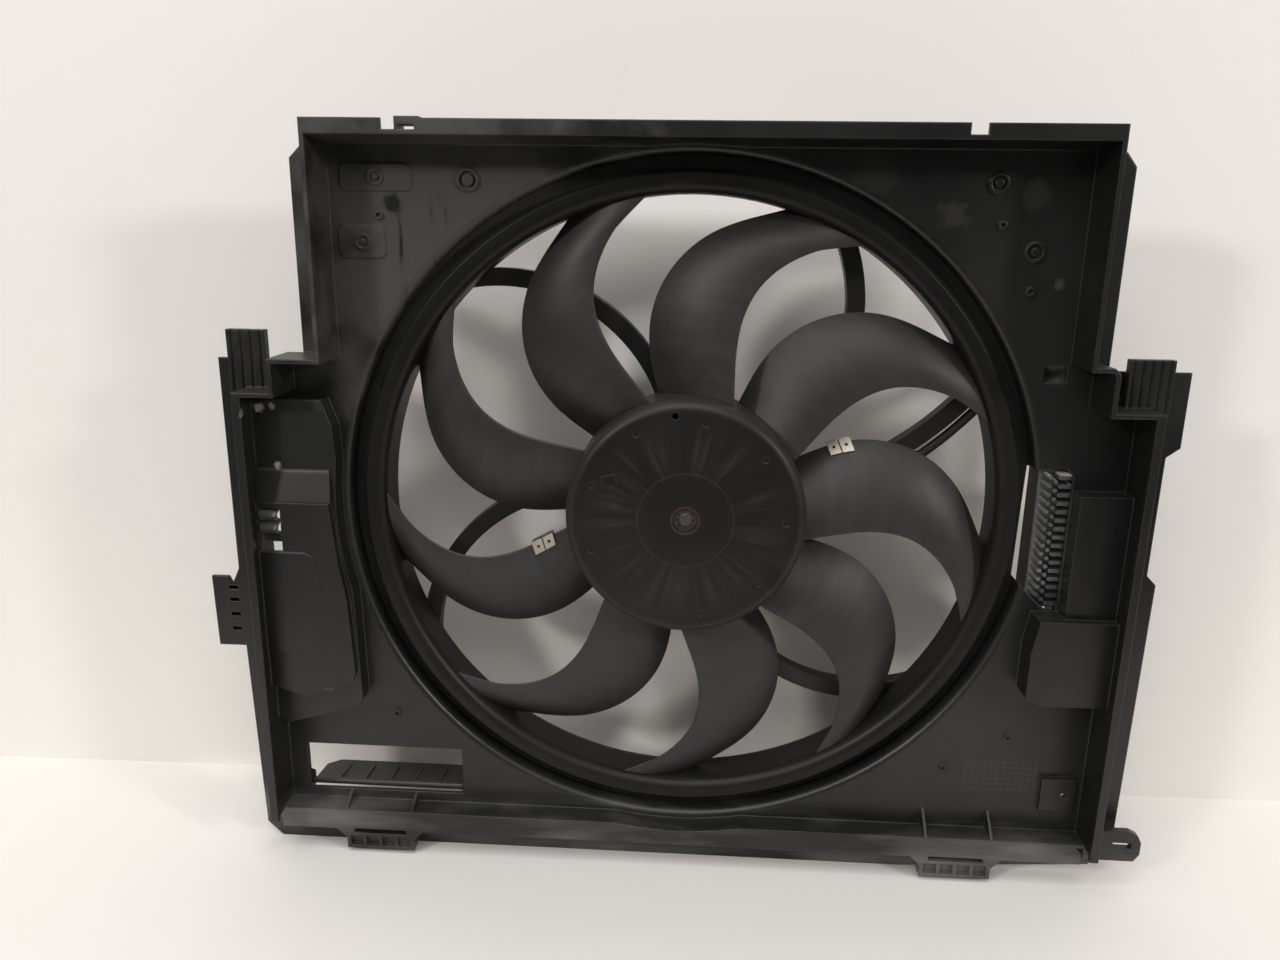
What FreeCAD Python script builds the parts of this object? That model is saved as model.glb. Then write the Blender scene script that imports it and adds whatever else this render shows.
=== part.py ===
import FreeCAD, Part
import Sketcher
import math
import os

# Radiator cooling fan: a moulded shroud that hooks onto a radiator, a nine-bladed fan wheel on a flat
# brushed motor carried by five curved arms, a motor controller with a pin heat sink, and an air flap.
# Millimetres. X to the right seen from the radiator, Y rearwards towards the engine, Z up.
# The origin lies on the fan's axis, in the plane of the shroud's front rim.

doc = FreeCAD.newDocument("radiator_cooling_fan")
sheet = doc.addObject("Spreadsheet::Sheet", "Sizes")

SIZES = [
    # Tray of the shroud
    ("plate_front", 38, "front face of the plate behind the rim"),
    ("plate_wall", 3, "thickness of the plate"),
    ("wall", 3, "thickness of the perimeter walls"),
    ("top_rim", 267, "upper edge of the top rail"),
    ("top_lip", 7, "height of the top rail's front lip"),
    ("top_drop", 6, "slope of the top wall from lip to plate"),
    ("upper_left", 254.5, "upper left wall, distance from the axis"),
    ("upper_right", 265, "upper right wall, distance from the axis"),
    ("step_left", 289, "inner step of the left shoulder"),
    ("step_right", 281, "inner step of the right shoulder"),
    ("lower_left", 316, "lower left wall, distance from the axis"),
    ("lower_right", 314, "lower right wall, distance from the axis"),
    ("shoulder_left", 111, "height of the left shoulder"),
    ("shoulder_right", 117, "height of the right shoulder"),
    ("shoulder_drop", 24, "drop of the shoulders at the tongues"),
    ("side_foot", 252, "lower end of the side walls, below the axis"),
    ("rim_bead", 6, "width of the side walls' front bead"),
    ("bead_depth", 4, "depth of that bead"),
    ("upper_flange", 23, "flange of the plate outside the upper walls"),
    ("flange_left", 341, "left edge of the plate"),
    ("flange_right", 344, "right edge of the plate"),
    ("panel_rise", 0.8, "height of the low pads on the plate and on the left pod"),
    ("flange_waist", 335, "right edge of the plate at its waist"),
    ("plate_foot", 289, "lower edge of the plate, below the axis"),
    # Lower rail
    ("rail_front", 20, "front face of the lower rail"),
    ("rail_top", 251, "upper face of the lower rail, below the axis"),
    ("rail_lip", 17, "height of the lower rail's front lip"),
    ("left_gusset", 7.5, "height of the two left gussets on the plate"),
    ("right_gusset", 15, "height of the two right gussets on the plate"),
    ("gusset_wall", 2.4, "thickness of the gussets"),
    ("foot_width", 54, "width of a foot"),
    ("foot_height", 17, "height of a foot below the rail's lip"),
    ("foot_recess", 3, "depth of the cells in a foot"),
    ("foot_left", 237, "left foot's middle, left of the axis"),
    ("foot_right", 216, "right foot's middle, right of the axis"),
    # Fan opening
    ("barrel_bore", 250, "inner radius of the barrel"),
    ("barrel_wall", 3, "wall of the barrel"),
    ("barrel_step", 54, "depth at which the barrel steps inwards"),
    ("throat_bore", 232, "inner radius of the barrel's narrow rear part"),
    ("barrel_end", 88, "rear end of the barrel"),
    ("mouth_round", 5, "rounding of the barrel's mouth"),
    # Fan wheel
    ("hub_front", 15, "front face of the hub"),
    ("hub_radius", 86.3, "outer radius of the hub"),
    ("hub_wall", 2.6, "wall of the hub"),
    ("hub_end", 66, "rear edge of the hub"),
    ("hub_round", 8, "rounding of the hub's front edge"),
    ("hub_boss", 13, "radius of the hub's boss"),
    ("hub_boss_end", 42, "rear end of the hub's boss"),
    ("hub_rib_count", 9, "ribs inside the hub"),
    ("insert_radius", 9, "outer radius of the steel bush in the hub"),
    ("retainer_seat", 3.2, "depth of the recess for the retainer"),
    ("retainer_radius", 8.4, "outer radius of the retainer"),
    ("retainer_wall", 0.8, "thickness of the retainer"),
    ("ring_bore", 224, "inner radius of the fan ring"),
    ("ring_wall", 2.6, "wall of the fan ring"),
    ("ring_lip", 240, "outer radius of the fan ring's lip"),
    ("ring_front", 39, "front of the fan ring"),
    ("ring_end", 72, "rear edge of the fan ring"),
    ("lip_return", 9, "depth of the lip's turned edge"),
    ("lip_round", 9, "rounding of the ring's inlet"),
    ("blade_count", 9, "number of blades"),
    ("blade_root_front", 33, "leading edge at the hub"),
    ("blade_root_rear", 62, "trailing edge at the hub"),
    ("blade_tip_front", 45, "leading edge at the ring"),
    ("blade_tip_rear", 62, "trailing edge at the ring"),
    ("blade_root_wall", 3.2, "blade thickness at the hub"),
    ("blade_tip_wall", 2.4, "blade thickness at the ring"),
    ("blade_camber", 5, "camber of the blade"),
    # Motor
    ("shaft_radius", 5, "radius of the motor's shaft"),
    ("shaft_front", 16.5, "front end of the shaft"),
    ("shaft_rear", 111, "rear end of the shaft"),
    ("running_gap", 0.05, "radial clearance of the shaft in its bearings"),
    ("motor_radius", 56, "outer radius of the motor's pot"),
    ("motor_wall", 2.5, "wall of the motor's pot"),
    ("motor_front", 49, "front edge of the motor's pot"),
    ("motor_end", 110, "rear face of the motor's pot"),
    ("shield_wall", 3, "thickness of the end shield"),
    ("shield_rim", 3, "depth of the end shield's spigot"),
    ("bearing_radius", 13, "outer radius of the ball bearings"),
    ("bearing_width", 7, "width of the ball bearings"),
    ("magnet_bore", 41, "inner radius of the magnets"),
    ("magnet_span", 66, "span of one magnet in degrees"),
    ("magnet_front", 60, "front end of the magnets"),
    ("magnet_end", 98, "rear end of the magnets"),
    ("armature_radius", 40, "outer radius of the armature"),
    ("armature_front", 68, "front face of the armature's core"),
    ("armature_end", 90, "rear face of the armature's core"),
    ("slot_count", 12, "slots of the armature"),
    ("slot_width", 6, "width of a slot"),
    ("slot_depth", 16, "depth of a slot"),
    ("winding_depth", 7, "depth of the winding heads"),
    ("commutator_radius", 14, "radius of the commutator"),
    ("brush_length", 16, "length of a brush"),
    ("brush_width", 7, "width of a brush"),
    ("brush_height", 5, "depth of a brush along the axis"),
    ("brush_gap", 0.1, "gap of a brush to the commutator and its box"),
    ("holder_wall", 2, "wall of the brush holder"),
    ("ear_wall", 3, "thickness of the motor's ears"),
    ("ear_reach", 72, "screw circle of the motor's ears"),
    ("ear_radius", 9, "rounding of an ear"),
    ("ear_count", 3, "number of ears"),
    ("screw_radius", 2.9, "radius of a motor screw's shank"),
    ("screw_gap", 0.3, "clearance round a motor screw"),
    ("screw_head", 5.6, "radius of a motor screw's head"),
    ("head_height", 4.5, "height of a motor screw's head"),
    # Motor carrier
    ("carrier_gap", 1, "gap between the pot and the carrier's ring"),
    ("carrier_wall", 6, "wall of the carrier's ring"),
    ("carrier_front", 76, "front face of the carrier"),
    ("arm_width", 13, "width of an arm"),
    ("arm_wall", 2.4, "wall of an arm"),
    # Air flap and its window
    ("window_left", 298, "left edge of the flap's window, left of the axis"),
    ("window_right", 173, "right edge of the flap's window, left of the axis"),
    ("window_top", 203, "upper edge of the window, below the axis"),
    ("window_foot", 243, "lower edge of the window, below the axis"),
    ("flap_gap", 1.2, "gap round the flap"),
    ("flap_wall", 2, "thickness of the flap"),
    ("flap_chamfer", 9, "cut corner of the flap"),
    ("flap_droop", 6, "how far the open flap hangs below level, in degrees"),
    ("trunnion_radius", 2, "radius of the flap's trunnions"),
    ("trunnion_gap", 0.1, "radial clearance of the trunnions"),
    ("trunnion_length", 4, "length of a trunnion"),
    ("cheek_wall", 4, "thickness of the cheeks that hold the flap"),
    # Controller
    ("sink_left", 258, "left edge of the heat sink's base"),
    ("sink_right", 332, "right edge of the heat sink's base"),
    ("sink_top", 36, "upper edge of the heat sink's base"),
    ("sink_foot", 72, "lower edge of the heat sink's base, below the axis"),
    ("sink_front", 58, "front face of the heat sink's base"),
    ("sink_wall", 4, "thickness of the heat sink's base"),
    ("pin_front", 43, "tips of the heat sink's pins"),
    ("pin_radius", 1.5, "radius of a pin"),
    ("pin_pitch", 6.4, "spacing of the pins"),
    ("fin_length", 9, "length of the fins in the last row"),
    ("cover_depth", 24, "depth of the controller's cover"),
    ("cover_wall", 2.2, "wall of the controller's cover"),
    ("board_wall", 1.6, "thickness of the circuit board"),
    ("post_radius", 5, "radius of the controller's posts"),
    ("tap_radius", 2, "radius of the controller's screws"),
    # Cable
    ("cable_radius", 3.5, "radius of the motor's cable"),
    ("cable_level", 82, "how far back the cable runs"),
    ("grommet_wall", 1.6, "wall of the cable's grommet"),
    ("tie_wall", 0.8, "thickness of the cable's ties"),
    ("tie_gap", 0.15, "gap between the cable and its ties"),
    ("tie_width", 8, "width of the cable's ties"),
    # Fixings
    ("pad_hole", 3, "radius of the hole in the lower right pad"),
    ("ear_slot", 2.6, "half height of the slot in the lower right ear"),
    ("tongue_wall", 6, "thickness of the ribbed tongues"),
    ("tongue_front", 24, "front face of the ribbed tongues"),
    ("groove_depth", 1.2, "depth of the tongues' grooves"),
]


class Length:
    """A number together with the sheet formula that gives it."""

    def __init__(self, value, formula):
        self.value = float(value)
        self.formula = formula

    def join(self, sign, other, value):
        return Length(value, "(%s %s %s)" % (self.formula, sign, length(other).formula))

    def __add__(self, other):
        return self.join("+", other, self.value + length(other).value)

    def __sub__(self, other):
        return self.join("-", other, self.value - length(other).value)

    def __mul__(self, other):
        return self.join("*", other, self.value * length(other).value)

    def __truediv__(self, other):
        return self.join("/", other, self.value / length(other).value)

    def __radd__(self, other):
        return length(other) + self

    def __rsub__(self, other):
        return length(other) - self

    def __rmul__(self, other):
        return length(other) * self

    def __neg__(self):
        return length(0) - self

    def __float__(self):
        return self.value


def length(number):
    if isinstance(number, Length):
        return number
    return Length(number, "%.6f" % number)


class Values:
    """Every size of the sheet by its name."""


size = Values()
for row, (alias, number, meaning) in enumerate(SIZES, start=1):
    sheet.set("A%d" % row, meaning)
    sheet.set("B%d" % row, str(number))
    sheet.setAlias("B%d" % row, alias)
doc.recompute()
for alias, number, meaning in SIZES:
    setattr(size, alias, Length(float(sheet.get(alias)), "Sizes." + alias))

parts = []


def bind(thing, name, value):
    thing.setExpression(name, length(value).formula)


def new_body(label):
    """A sub-part made of sketches and features; its label names its file."""
    body = doc.addObject("PartDesign::Body", label)
    body.Label = label
    parts.append(body)
    return body


def plain_part(label, shape):
    """A sub-part whose form is worked out from the sheet's sizes."""
    feature = doc.addObject("Part::Feature", label)
    feature.Label = label
    feature.Shape = shape
    feature.Placement = FreeCAD.Placement()
    parts.append(feature)
    return feature


def origin_item(body, role):
    return [item for item in body.Origin.OriginFeatures if item.Role == role][0]


def new_sketch(body, name, role, offset):
    """A sketch on one of the body's own planes, moved along that plane's normal."""
    sketch = body.newObject("Sketcher::SketchObject", name)
    sketch.AttachmentSupport = [(origin_item(body, role), "")]
    sketch.MapMode = "FlatFace"
    bind(sketch, "AttachmentOffset.Base.z", offset)
    return sketch


def settle(sketch, joins, sizes):
    """Adds the joins and the sized constraints of new lines in one go, then ties each size to the sheet."""
    first = sketch.ConstraintCount + len(joins)
    limits = []
    for kind, geometry, point, value in sizes:
        number = float(value)
        if kind == "Radius":
            limits.append(Sketcher.Constraint(kind, geometry, number))
        else:
            limits.append(Sketcher.Constraint(kind, -1, 1, geometry, point, number))
    sketch.addConstraint(joins + limits)
    for index, (kind, geometry, point, value) in enumerate(sizes, start=first):
        sketch.setExpression("Constraints[%d]" % index, length(value).formula)


def draw_polygon(sketch, corners):
    draw_polygons(sketch, [corners])


def draw_polygons(sketch, outlines):
    """Closed outlines of straight lines, each corner held by two sizes."""
    lines = []
    joins = []
    sizes = []
    for corners in outlines:
        first = sketch.GeometryCount + len(lines)
        count = len(corners)
        spots = [FreeCAD.Vector(float(across), float(along), 0) for across, along in corners]
        for k, (across, along) in enumerate(corners):
            lines.append(Part.LineSegment(spots[k], spots[(k + 1) % count]))
            joins.append(Sketcher.Constraint("Coincident", first + k, 2, first + (k + 1) % count, 1))
            sizes.append(("DistanceX", first + k, 1, across))
            sizes.append(("DistanceY", first + k, 1, along))
    sketch.addGeometry(lines, False)
    settle(sketch, joins, sizes)


def draw_circles(sketch, circles):
    """Whole circles, each held by the place of its middle and by its radius."""
    first = sketch.GeometryCount
    rounds = []
    sizes = []
    for k, (across, along, radius) in enumerate(circles):
        middle = FreeCAD.Vector(float(across), float(along), 0)
        rounds.append(Part.Circle(middle, FreeCAD.Vector(0, 0, 1), float(radius)))
        sizes.append(("DistanceX", first + k, 3, across))
        sizes.append(("DistanceY", first + k, 3, along))
        sizes.append(("Radius", first + k, 3, radius))
    sketch.addGeometry(rounds, False)
    settle(sketch, [], sizes)


def draw_circle(sketch, across, along, radius):
    draw_circles(sketch, [(across, along, radius)])


def box_corners(left, right, low, high):
    return [(left, low), (right, low), (right, high), (left, high)]


def extrude(body, name, sketch, depth, reverse):
    pad = body.newObject("PartDesign::Pad", name)
    pad.Profile = sketch
    bind(pad, "Length", depth)
    pad.Reversed = reverse
    pad.Refine = False
    sketch.Visibility = False
    return pad


def front_pad(body, name, front, rear, draw):
    """Material between two depths, with an outline drawn as seen from the front."""
    sketch = new_sketch(body, name + "_outline", "XZ_Plane", -length(front))
    draw(sketch)
    return extrude(body, name, sketch, length(rear) - front, True)


def front_pocket(body, name, front, rear, draw):
    """A cut between two depths, with an outline drawn as seen from the front."""
    doc.recompute()
    before = body.Shape.Volume
    sketch = new_sketch(body, name + "_outline", "XZ_Plane", -length(front))
    draw(sketch)
    pocket = body.newObject("PartDesign::Pocket", name)
    pocket.Profile = sketch
    bind(pocket, "Length", length(rear) - front)
    pocket.Refine = False
    doc.recompute()
    if not body.Shape.Volume < before - 0.01:
        raise RuntimeError(name + " removes nothing")
    return pocket


def side_pad(body, name, left, right, corners):
    """Material between two distances along X, with a cross-section drawn in depth and height."""
    sketch = new_sketch(body, name + "_section", "YZ_Plane", left)
    draw_polygon(sketch, corners)
    return extrude(body, name, sketch, length(right) - left, False)


def level_pocket(body, name, role, start, depth, circles):
    """A round cut along the normal of one of the body's planes, from a start for a given depth."""
    doc.recompute()
    before = body.Shape.Volume
    sketch = new_sketch(body, name + "_outline", role, start)
    draw_circles(sketch, circles)
    pocket = body.newObject("PartDesign::Pocket", name)
    pocket.Profile = sketch
    pocket.Reversed = True
    pocket.Refine = False
    bind(pocket, "Length", depth)
    doc.recompute()
    if not body.Shape.Volume < before - 0.01:
        raise RuntimeError(name + " removes nothing")
    return pocket


def turned(body, name, corners):
    """A solid of revolution about the fan's axis; corners are radius and depth."""
    sketch = new_sketch(body, name + "_profile", "XY_Plane", 0)
    draw_polygon(sketch, corners)
    feature = body.newObject("PartDesign::Revolution", name)
    feature.Profile = sketch
    feature.ReferenceAxis = (sketch, ["V_Axis"])
    feature.Angle = 360
    feature.Refine = False
    return feature


def tube(inner, outer, front, rear):
    return [(inner, front), (outer, front), (outer, rear), (inner, rear)]


def round_pattern(body, name, feature, count):
    """Copies of a feature, evenly spaced about the fan's axis."""
    pattern = body.newObject("PartDesign::PolarPattern", name)
    pattern.Originals = [feature]
    pattern.Axis = (origin_item(body, "Y_Axis"), [""])
    pattern.Angle = 360
    bind(pattern, "Occurrences", count)
    pattern.Refine = False
    body.Tip = pattern
    doc.recompute()
    return pattern


def round_edges(body, name, radius, wanted):
    """A fillet on the edges that the test picks out."""
    doc.recompute()
    tip = body.Tip
    names = ["Edge%d" % (k + 1) for k, edge in enumerate(tip.Shape.Edges) if wanted(edge)]
    if not names:
        raise RuntimeError(name + " finds no edge")
    fillet = body.newObject("PartDesign::Fillet", name)
    fillet.Base = (tip, names)
    bind(fillet, "Radius", radius)
    doc.recompute()
    return fillet


def ring_edge(radius, depth):
    """Picks whole circular edges of one radius at one depth."""
    def test(edge):
        curve = edge.Curve
        if not isinstance(curve, Part.Circle):
            return False
        return abs(curve.Radius - float(radius)) < 0.01 and abs(curve.Center.y - float(depth)) < 0.01
    return test


def polygon_drawer(corners):
    def draw(sketch):
        draw_polygon(sketch, corners)
    return draw


def polygons_drawer(outlines):
    def draw(sketch):
        draw_polygons(sketch, outlines)
    return draw


def circles_drawer(circles):
    def draw(sketch):
        draw_circles(sketch, circles)
    return draw


def disc(radius, front, rear):
    """A plain disc about the fan's axis."""
    return Part.makeCylinder(float(radius), float(rear) - float(front),
                             FreeCAD.Vector(0, float(front), 0), FreeCAD.Vector(0, 1, 0))


def on_circle(radius, degrees, depth=0.0):
    angle = math.radians(degrees)
    return FreeCAD.Vector(float(radius) * math.cos(angle), float(depth), float(radius) * math.sin(angle))


# Shroud: plate, barrel and walls
plate_rear = size.plate_front + size.plate_wall
plate_top = size.top_rim - size.top_lip - size.top_drop
flange_top = plate_top - 1
waist_top = 50
waist_foot = -38
corner_cut = 12


def make_shroud():
    body = new_body("shroud")
    plate = [
        (-size.upper_left, plate_top),
        (size.upper_right, plate_top),
        (size.upper_right + size.upper_flange - 7, flange_top),
        (size.upper_right + size.upper_flange, flange_top - 9),
        (size.upper_right + size.upper_flange, size.shoulder_right - 7),
        (size.flange_right, size.shoulder_right - 7),
        (size.flange_right, waist_top + 7),
        (size.flange_waist, waist_top),
        (size.flange_waist, waist_foot),
        (size.flange_right - 2, waist_foot - 7),
        (size.flange_right - 4, -(size.plate_foot - 28)),
        (size.flange_right - 20, -(size.plate_foot - 9)),
        (size.foot_right - 40, -size.plate_foot),
        (-(size.flange_left - 16), -size.plate_foot),
        (-(size.flange_left - 4), -(size.plate_foot - corner_cut)),
        (-size.flange_left, -120),
        (-362, -120),
        (-363, -63),
        (-350, -63),
        (-347, -69),
        (-size.flange_left, -56),
        (-size.flange_left, size.shoulder_left - 5),
        (-(size.upper_left + size.upper_flange), size.shoulder_left - 5),
        (-(size.upper_left + size.upper_flange), flange_top - 9),
        (-(size.upper_left + size.upper_flange - 9), flange_top)]
    window = box_corners(-size.window_left, -size.window_right, -size.window_foot, -size.window_top)
    tab_slits = [box_corners(-350, -343, level - 1.5, level + 1.5) for level in (-72, -82, -94, -106)]
    front_pad(body, "plate", size.plate_front, plate_rear, polygons_drawer([plate, window] + tab_slits))
    make_walls(body)
    make_top_rail(body)
    make_lower_rail(body)
    make_fixings(body)
    make_pods(body)
    mouth_reach = size.barrel_bore + size.mouth_round + 0.8
    front_pocket(body, "clearance", size.plate_front - 30, size.plate_front,
                 circles_drawer([(0, 0, mouth_reach)]))
    step_rear = size.barrel_step + size.barrel_wall
    front_pad(body, "barrel", size.plate_front, step_rear, circles_drawer([
        (0, 0, size.barrel_bore + size.barrel_wall), (0, 0, size.throat_bore)]))
    front_pocket(body, "opening", size.plate_front, size.barrel_step,
                 circles_drawer([(0, 0, size.barrel_bore)]))
    front_pad(body, "throat", step_rear, size.barrel_end, circles_drawer([
        (0, 0, size.throat_bore + size.barrel_wall), (0, 0, size.throat_bore)]))
    round_edges(body, "mouth", size.mouth_round, ring_edge(size.barrel_bore, size.plate_front))
    # A window beside the right pod lets the fan draw air through the controller's pins.
    front_pocket(body, "sink_window", size.plate_front - 21, size.sink_front - 0.5, polygon_drawer([
        (246, 38), (262, 40), (269, 40), (274, 34), (274, -68), (262, -66), (244, -46)]))
    # The cable leaves the barrel through a notch in its rear edge.
    spot = on_circle(size.throat_bore + size.barrel_wall / 2, cable_exit_angle())
    front_pocket(body, "cable_notch", size.cable_level - size.cable_radius - 2, size.barrel_end,
                 circles_drawer([(spot.x, spot.z, size.cable_radius + 5)]))
    return body


def make_walls(body):
    """Side walls round the tray, with a thicker bead along the front edge of the lower ones."""
    wall_top = plate_top + size.wall
    left_wall = [
        (-size.upper_left, wall_top), (-size.upper_left, size.shoulder_left),
        (-size.step_left, size.shoulder_left), (-size.step_left, size.shoulder_left - size.shoulder_drop),
        (-size.lower_left, size.shoulder_left - size.shoulder_drop), (-size.lower_left, -size.side_foot),
        (size.wall - size.lower_left, -size.side_foot),
        (size.wall - size.lower_left, size.shoulder_left - size.shoulder_drop - size.wall),
        (size.wall - size.step_left, size.shoulder_left - size.shoulder_drop - size.wall),
        (size.wall - size.step_left, size.shoulder_left - size.wall),
        (size.wall - size.upper_left, size.shoulder_left - size.wall),
        (size.wall - size.upper_left, wall_top)]
    right_wall = [
        (size.upper_right, wall_top), (size.upper_right, size.shoulder_right),
        (size.step_right - 4, size.shoulder_right), (size.step_right, size.shoulder_right - 4),
        (size.step_right, size.shoulder_right - size.shoulder_drop - 6),
        (size.lower_right, size.shoulder_right - size.shoulder_drop - 6),
        (size.lower_right, -size.side_foot),
        (size.lower_right - size.wall, -size.side_foot),
        (size.lower_right - size.wall, size.shoulder_right - size.shoulder_drop - size.wall - 6),
        (size.step_right - size.wall, size.shoulder_right - size.shoulder_drop - size.wall - 6),
        (size.step_right - size.wall, size.shoulder_right - size.wall - 2),
        (size.step_right - size.wall - 2, size.shoulder_right - size.wall),
        (size.upper_right - size.wall, size.shoulder_right - size.wall),
        (size.upper_right - size.wall, wall_top)]
    front_pad(body, "side_walls", 0, size.plate_front, polygons_drawer([left_wall, right_wall]))
    beads = [
        box_corners(-size.lower_left, size.rim_bead - size.lower_left, -size.side_foot,
                    size.shoulder_left - size.shoulder_drop - size.wall),
        box_corners(size.lower_right - size.rim_bead, size.lower_right, -size.side_foot,
                    size.shoulder_right - size.shoulder_drop - size.wall - 6)]
    front_pad(body, "beads", 0, size.bead_depth, polygons_drawer(beads))


def make_top_rail(body):
    """A sloping top wall whose front lip is interrupted by two notches; a loop bridges one of them."""
    lip_foot = size.top_rim - size.top_lip
    side_pad(body, "top_wall", -size.upper_left, size.upper_right, [
        (0, lip_foot - size.wall), (0, lip_foot), (plate_rear, plate_top + size.wall),
        (plate_rear, plate_top), (size.plate_front, plate_top)])
    front_pad(body, "top_lip", 0, size.wall, polygons_drawer([
        box_corners(-size.upper_left, -201, lip_foot - 1, size.top_rim),
        box_corners(-176, 170, lip_foot - 1, size.top_rim),
        box_corners(181, size.upper_right, lip_foot - 1, size.top_rim)]))
    front_pad(body, "clip_loop", 0, 16, polygons_drawer([
        box_corners(-192, -176, lip_foot - 1, size.top_rim + 1),
        box_corners(-190, -179, lip_foot, lip_foot + 3)]))


def make_lower_rail(body):
    """A ledge on the plate with a lip that hangs from its front edge, gussets above and two feet below."""
    ledge_foot = size.rail_top + size.wall
    lip_end = size.rail_top + size.rail_lip
    side_pad(body, "lower_ledge", -size.lower_left, size.lower_right, [
        (size.rail_front, -size.rail_top), (size.plate_front, -size.rail_top),
        (size.plate_front, -ledge_foot), (size.rail_front, -ledge_foot)])
    front_pad(body, "lower_lip", size.rail_front, size.rail_front + size.wall, polygon_drawer([
        (-size.lower_left, -(size.rail_top + 4)), (-(size.lower_left - 5), -size.rail_top),
        (size.lower_right - 11, -size.rail_top), (size.lower_right - 4, -(size.rail_top + 8)),
        (size.lower_right - 4, -lip_end), (-size.lower_left, -lip_end)]))
    front_pad(body, "scallop_back", size.rail_front, size.plate_front, polygon_drawer(box_corners(
        -52, 52, -(size.barrel_bore + size.mouth_round + 4), -size.rail_top)))
    gussets = ((-264, size.left_gusset), (-211, size.left_gusset), (192, size.right_gusset), (242, size.right_gusset))
    for number, (place, height) in enumerate(gussets, start=1):
        side_pad(body, "gusset_%d" % number, length(place) - size.gusset_wall / 2,
                 length(place) + size.gusset_wall / 2, [
                     (size.rail_front, -size.rail_top), (size.plate_front, -size.rail_top),
                     (size.plate_front, height - size.rail_top)])
    shells = []
    floors = []
    foot_top = -lip_end
    foot_low = foot_top - size.foot_height
    for middle in (-size.foot_left, size.foot_right):
        left = middle - size.foot_width / 2
        right = middle + size.foot_width / 2
        outline = [(left - 10, foot_top + 2), (left, foot_top - 8), (left, foot_low), (right, foot_low),
                   (right, foot_top - 8), (right + 10, foot_top + 2)]
        shells.append(outline)
        floors.append(outline)
        cells = 4
        cell_width = (size.foot_width - 3 * (cells + 1)) / cells
        for cell in range(cells):
            cell_left = left + 3 + (cell_width + 3) * cell
            shells.append(box_corners(cell_left, cell_left + cell_width, foot_low + 2.5, foot_top - 6))
    foot_floor = size.rail_front + size.foot_recess
    front_pad(body, "feet", size.rail_front, foot_floor, polygons_drawer(shells))
    front_pad(body, "feet_floors", foot_floor, size.plate_front, polygons_drawer(floors))
    # A flat slot runs through the shroud above each foot.
    slots = [box_corners(middle - 21, middle + 21, -(lip_end + 3.5), 0.5 - lip_end)
             for middle in (-size.foot_left, size.foot_right)]
    front_pocket(body, "feet_slots", size.rail_front, plate_rear, polygons_drawer(slots))


def make_pods(body):
    """Raised boxes of the plate, open at the back, beside the fan's opening."""
    pod_front = size.plate_front - 15
    pod_top = size.shoulder_left - size.shoulder_drop - 8
    left_edge = size.wall - size.lower_left
    right_edge = size.lower_right - size.wall
    upper = [
        (left_edge, pod_top), (-262, pod_top), (-255, 60), (-247, -72), (-245, -154), (-249, -161),
        (-276, -169), (-306, -177), (left_edge, -173)]
    upper_hollow = [
        (left_edge, pod_top - size.wall), (-265, pod_top - size.wall), (-261, 60), (-260, 0), (-255, -40),
        (-251, -72), (-248, -153), (-251, -158), (-276, -166), (-305, -174), (left_edge, -170)]
    lower = [
        (left_edge, 4), (-259, 4), (-255, -40), (-250, -70), (-247, -130), (-250, -137), (-288, -151),
        (left_edge, -142)]
    lower_hollow = [
        (left_edge, 1), (-262, 1), (-258, -40), (-253, -70), (-250, -129), (-253, -134), (-288, -148),
        (left_edge, -139)]
    clip_window = box_corners(-311, -295.2, -33.5, -0.5)
    controller = [
        (275, size.sink_top - 12), (right_edge, size.sink_top - 12), (right_edge, -68), (275, -68)]
    controller_hollow = [
        (278, size.sink_top - 15), (right_edge, size.sink_top - 15), (right_edge, -65), (278, -65)]
    right_lower = [
        (256, -68), (right_edge, -68), (right_edge, -134), (262, -134), (252, -128), (252, -92)]
    right_lower_hollow = [
        (262, -71), (right_edge, -71), (right_edge, -131), (264, -131), (257, -127), (257, -92)]
    front_pad(body, "pod_walls", pod_front, size.plate_front, polygons_drawer([upper, controller]))
    front_pad(body, "step_walls", pod_front - 7, size.plate_front, polygons_drawer([lower, right_lower]))
    front_pocket(body, "pod_hollows", pod_front + size.plate_wall, plate_rear,
                 polygons_drawer([upper_hollow, controller_hollow]))
    front_pocket(body, "step_hollows", pod_front - 7 + size.plate_wall, plate_rear,
                 polygons_drawer([lower_hollow, right_lower_hollow]))
    front_pocket(body, "clip_window", pod_front - 7, plate_rear, polygon_drawer(clip_window))
    front_pad(body, "pod_panel", pod_front - 7 - size.panel_rise, pod_front - 7, polygon_drawer([
        (left_edge, -34), (-279, -34), (-274, -37), (-267.5, -66), (-267, -98), (-268.5, -111), (-273, -115),
        (left_edge, -116)]))


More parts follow.
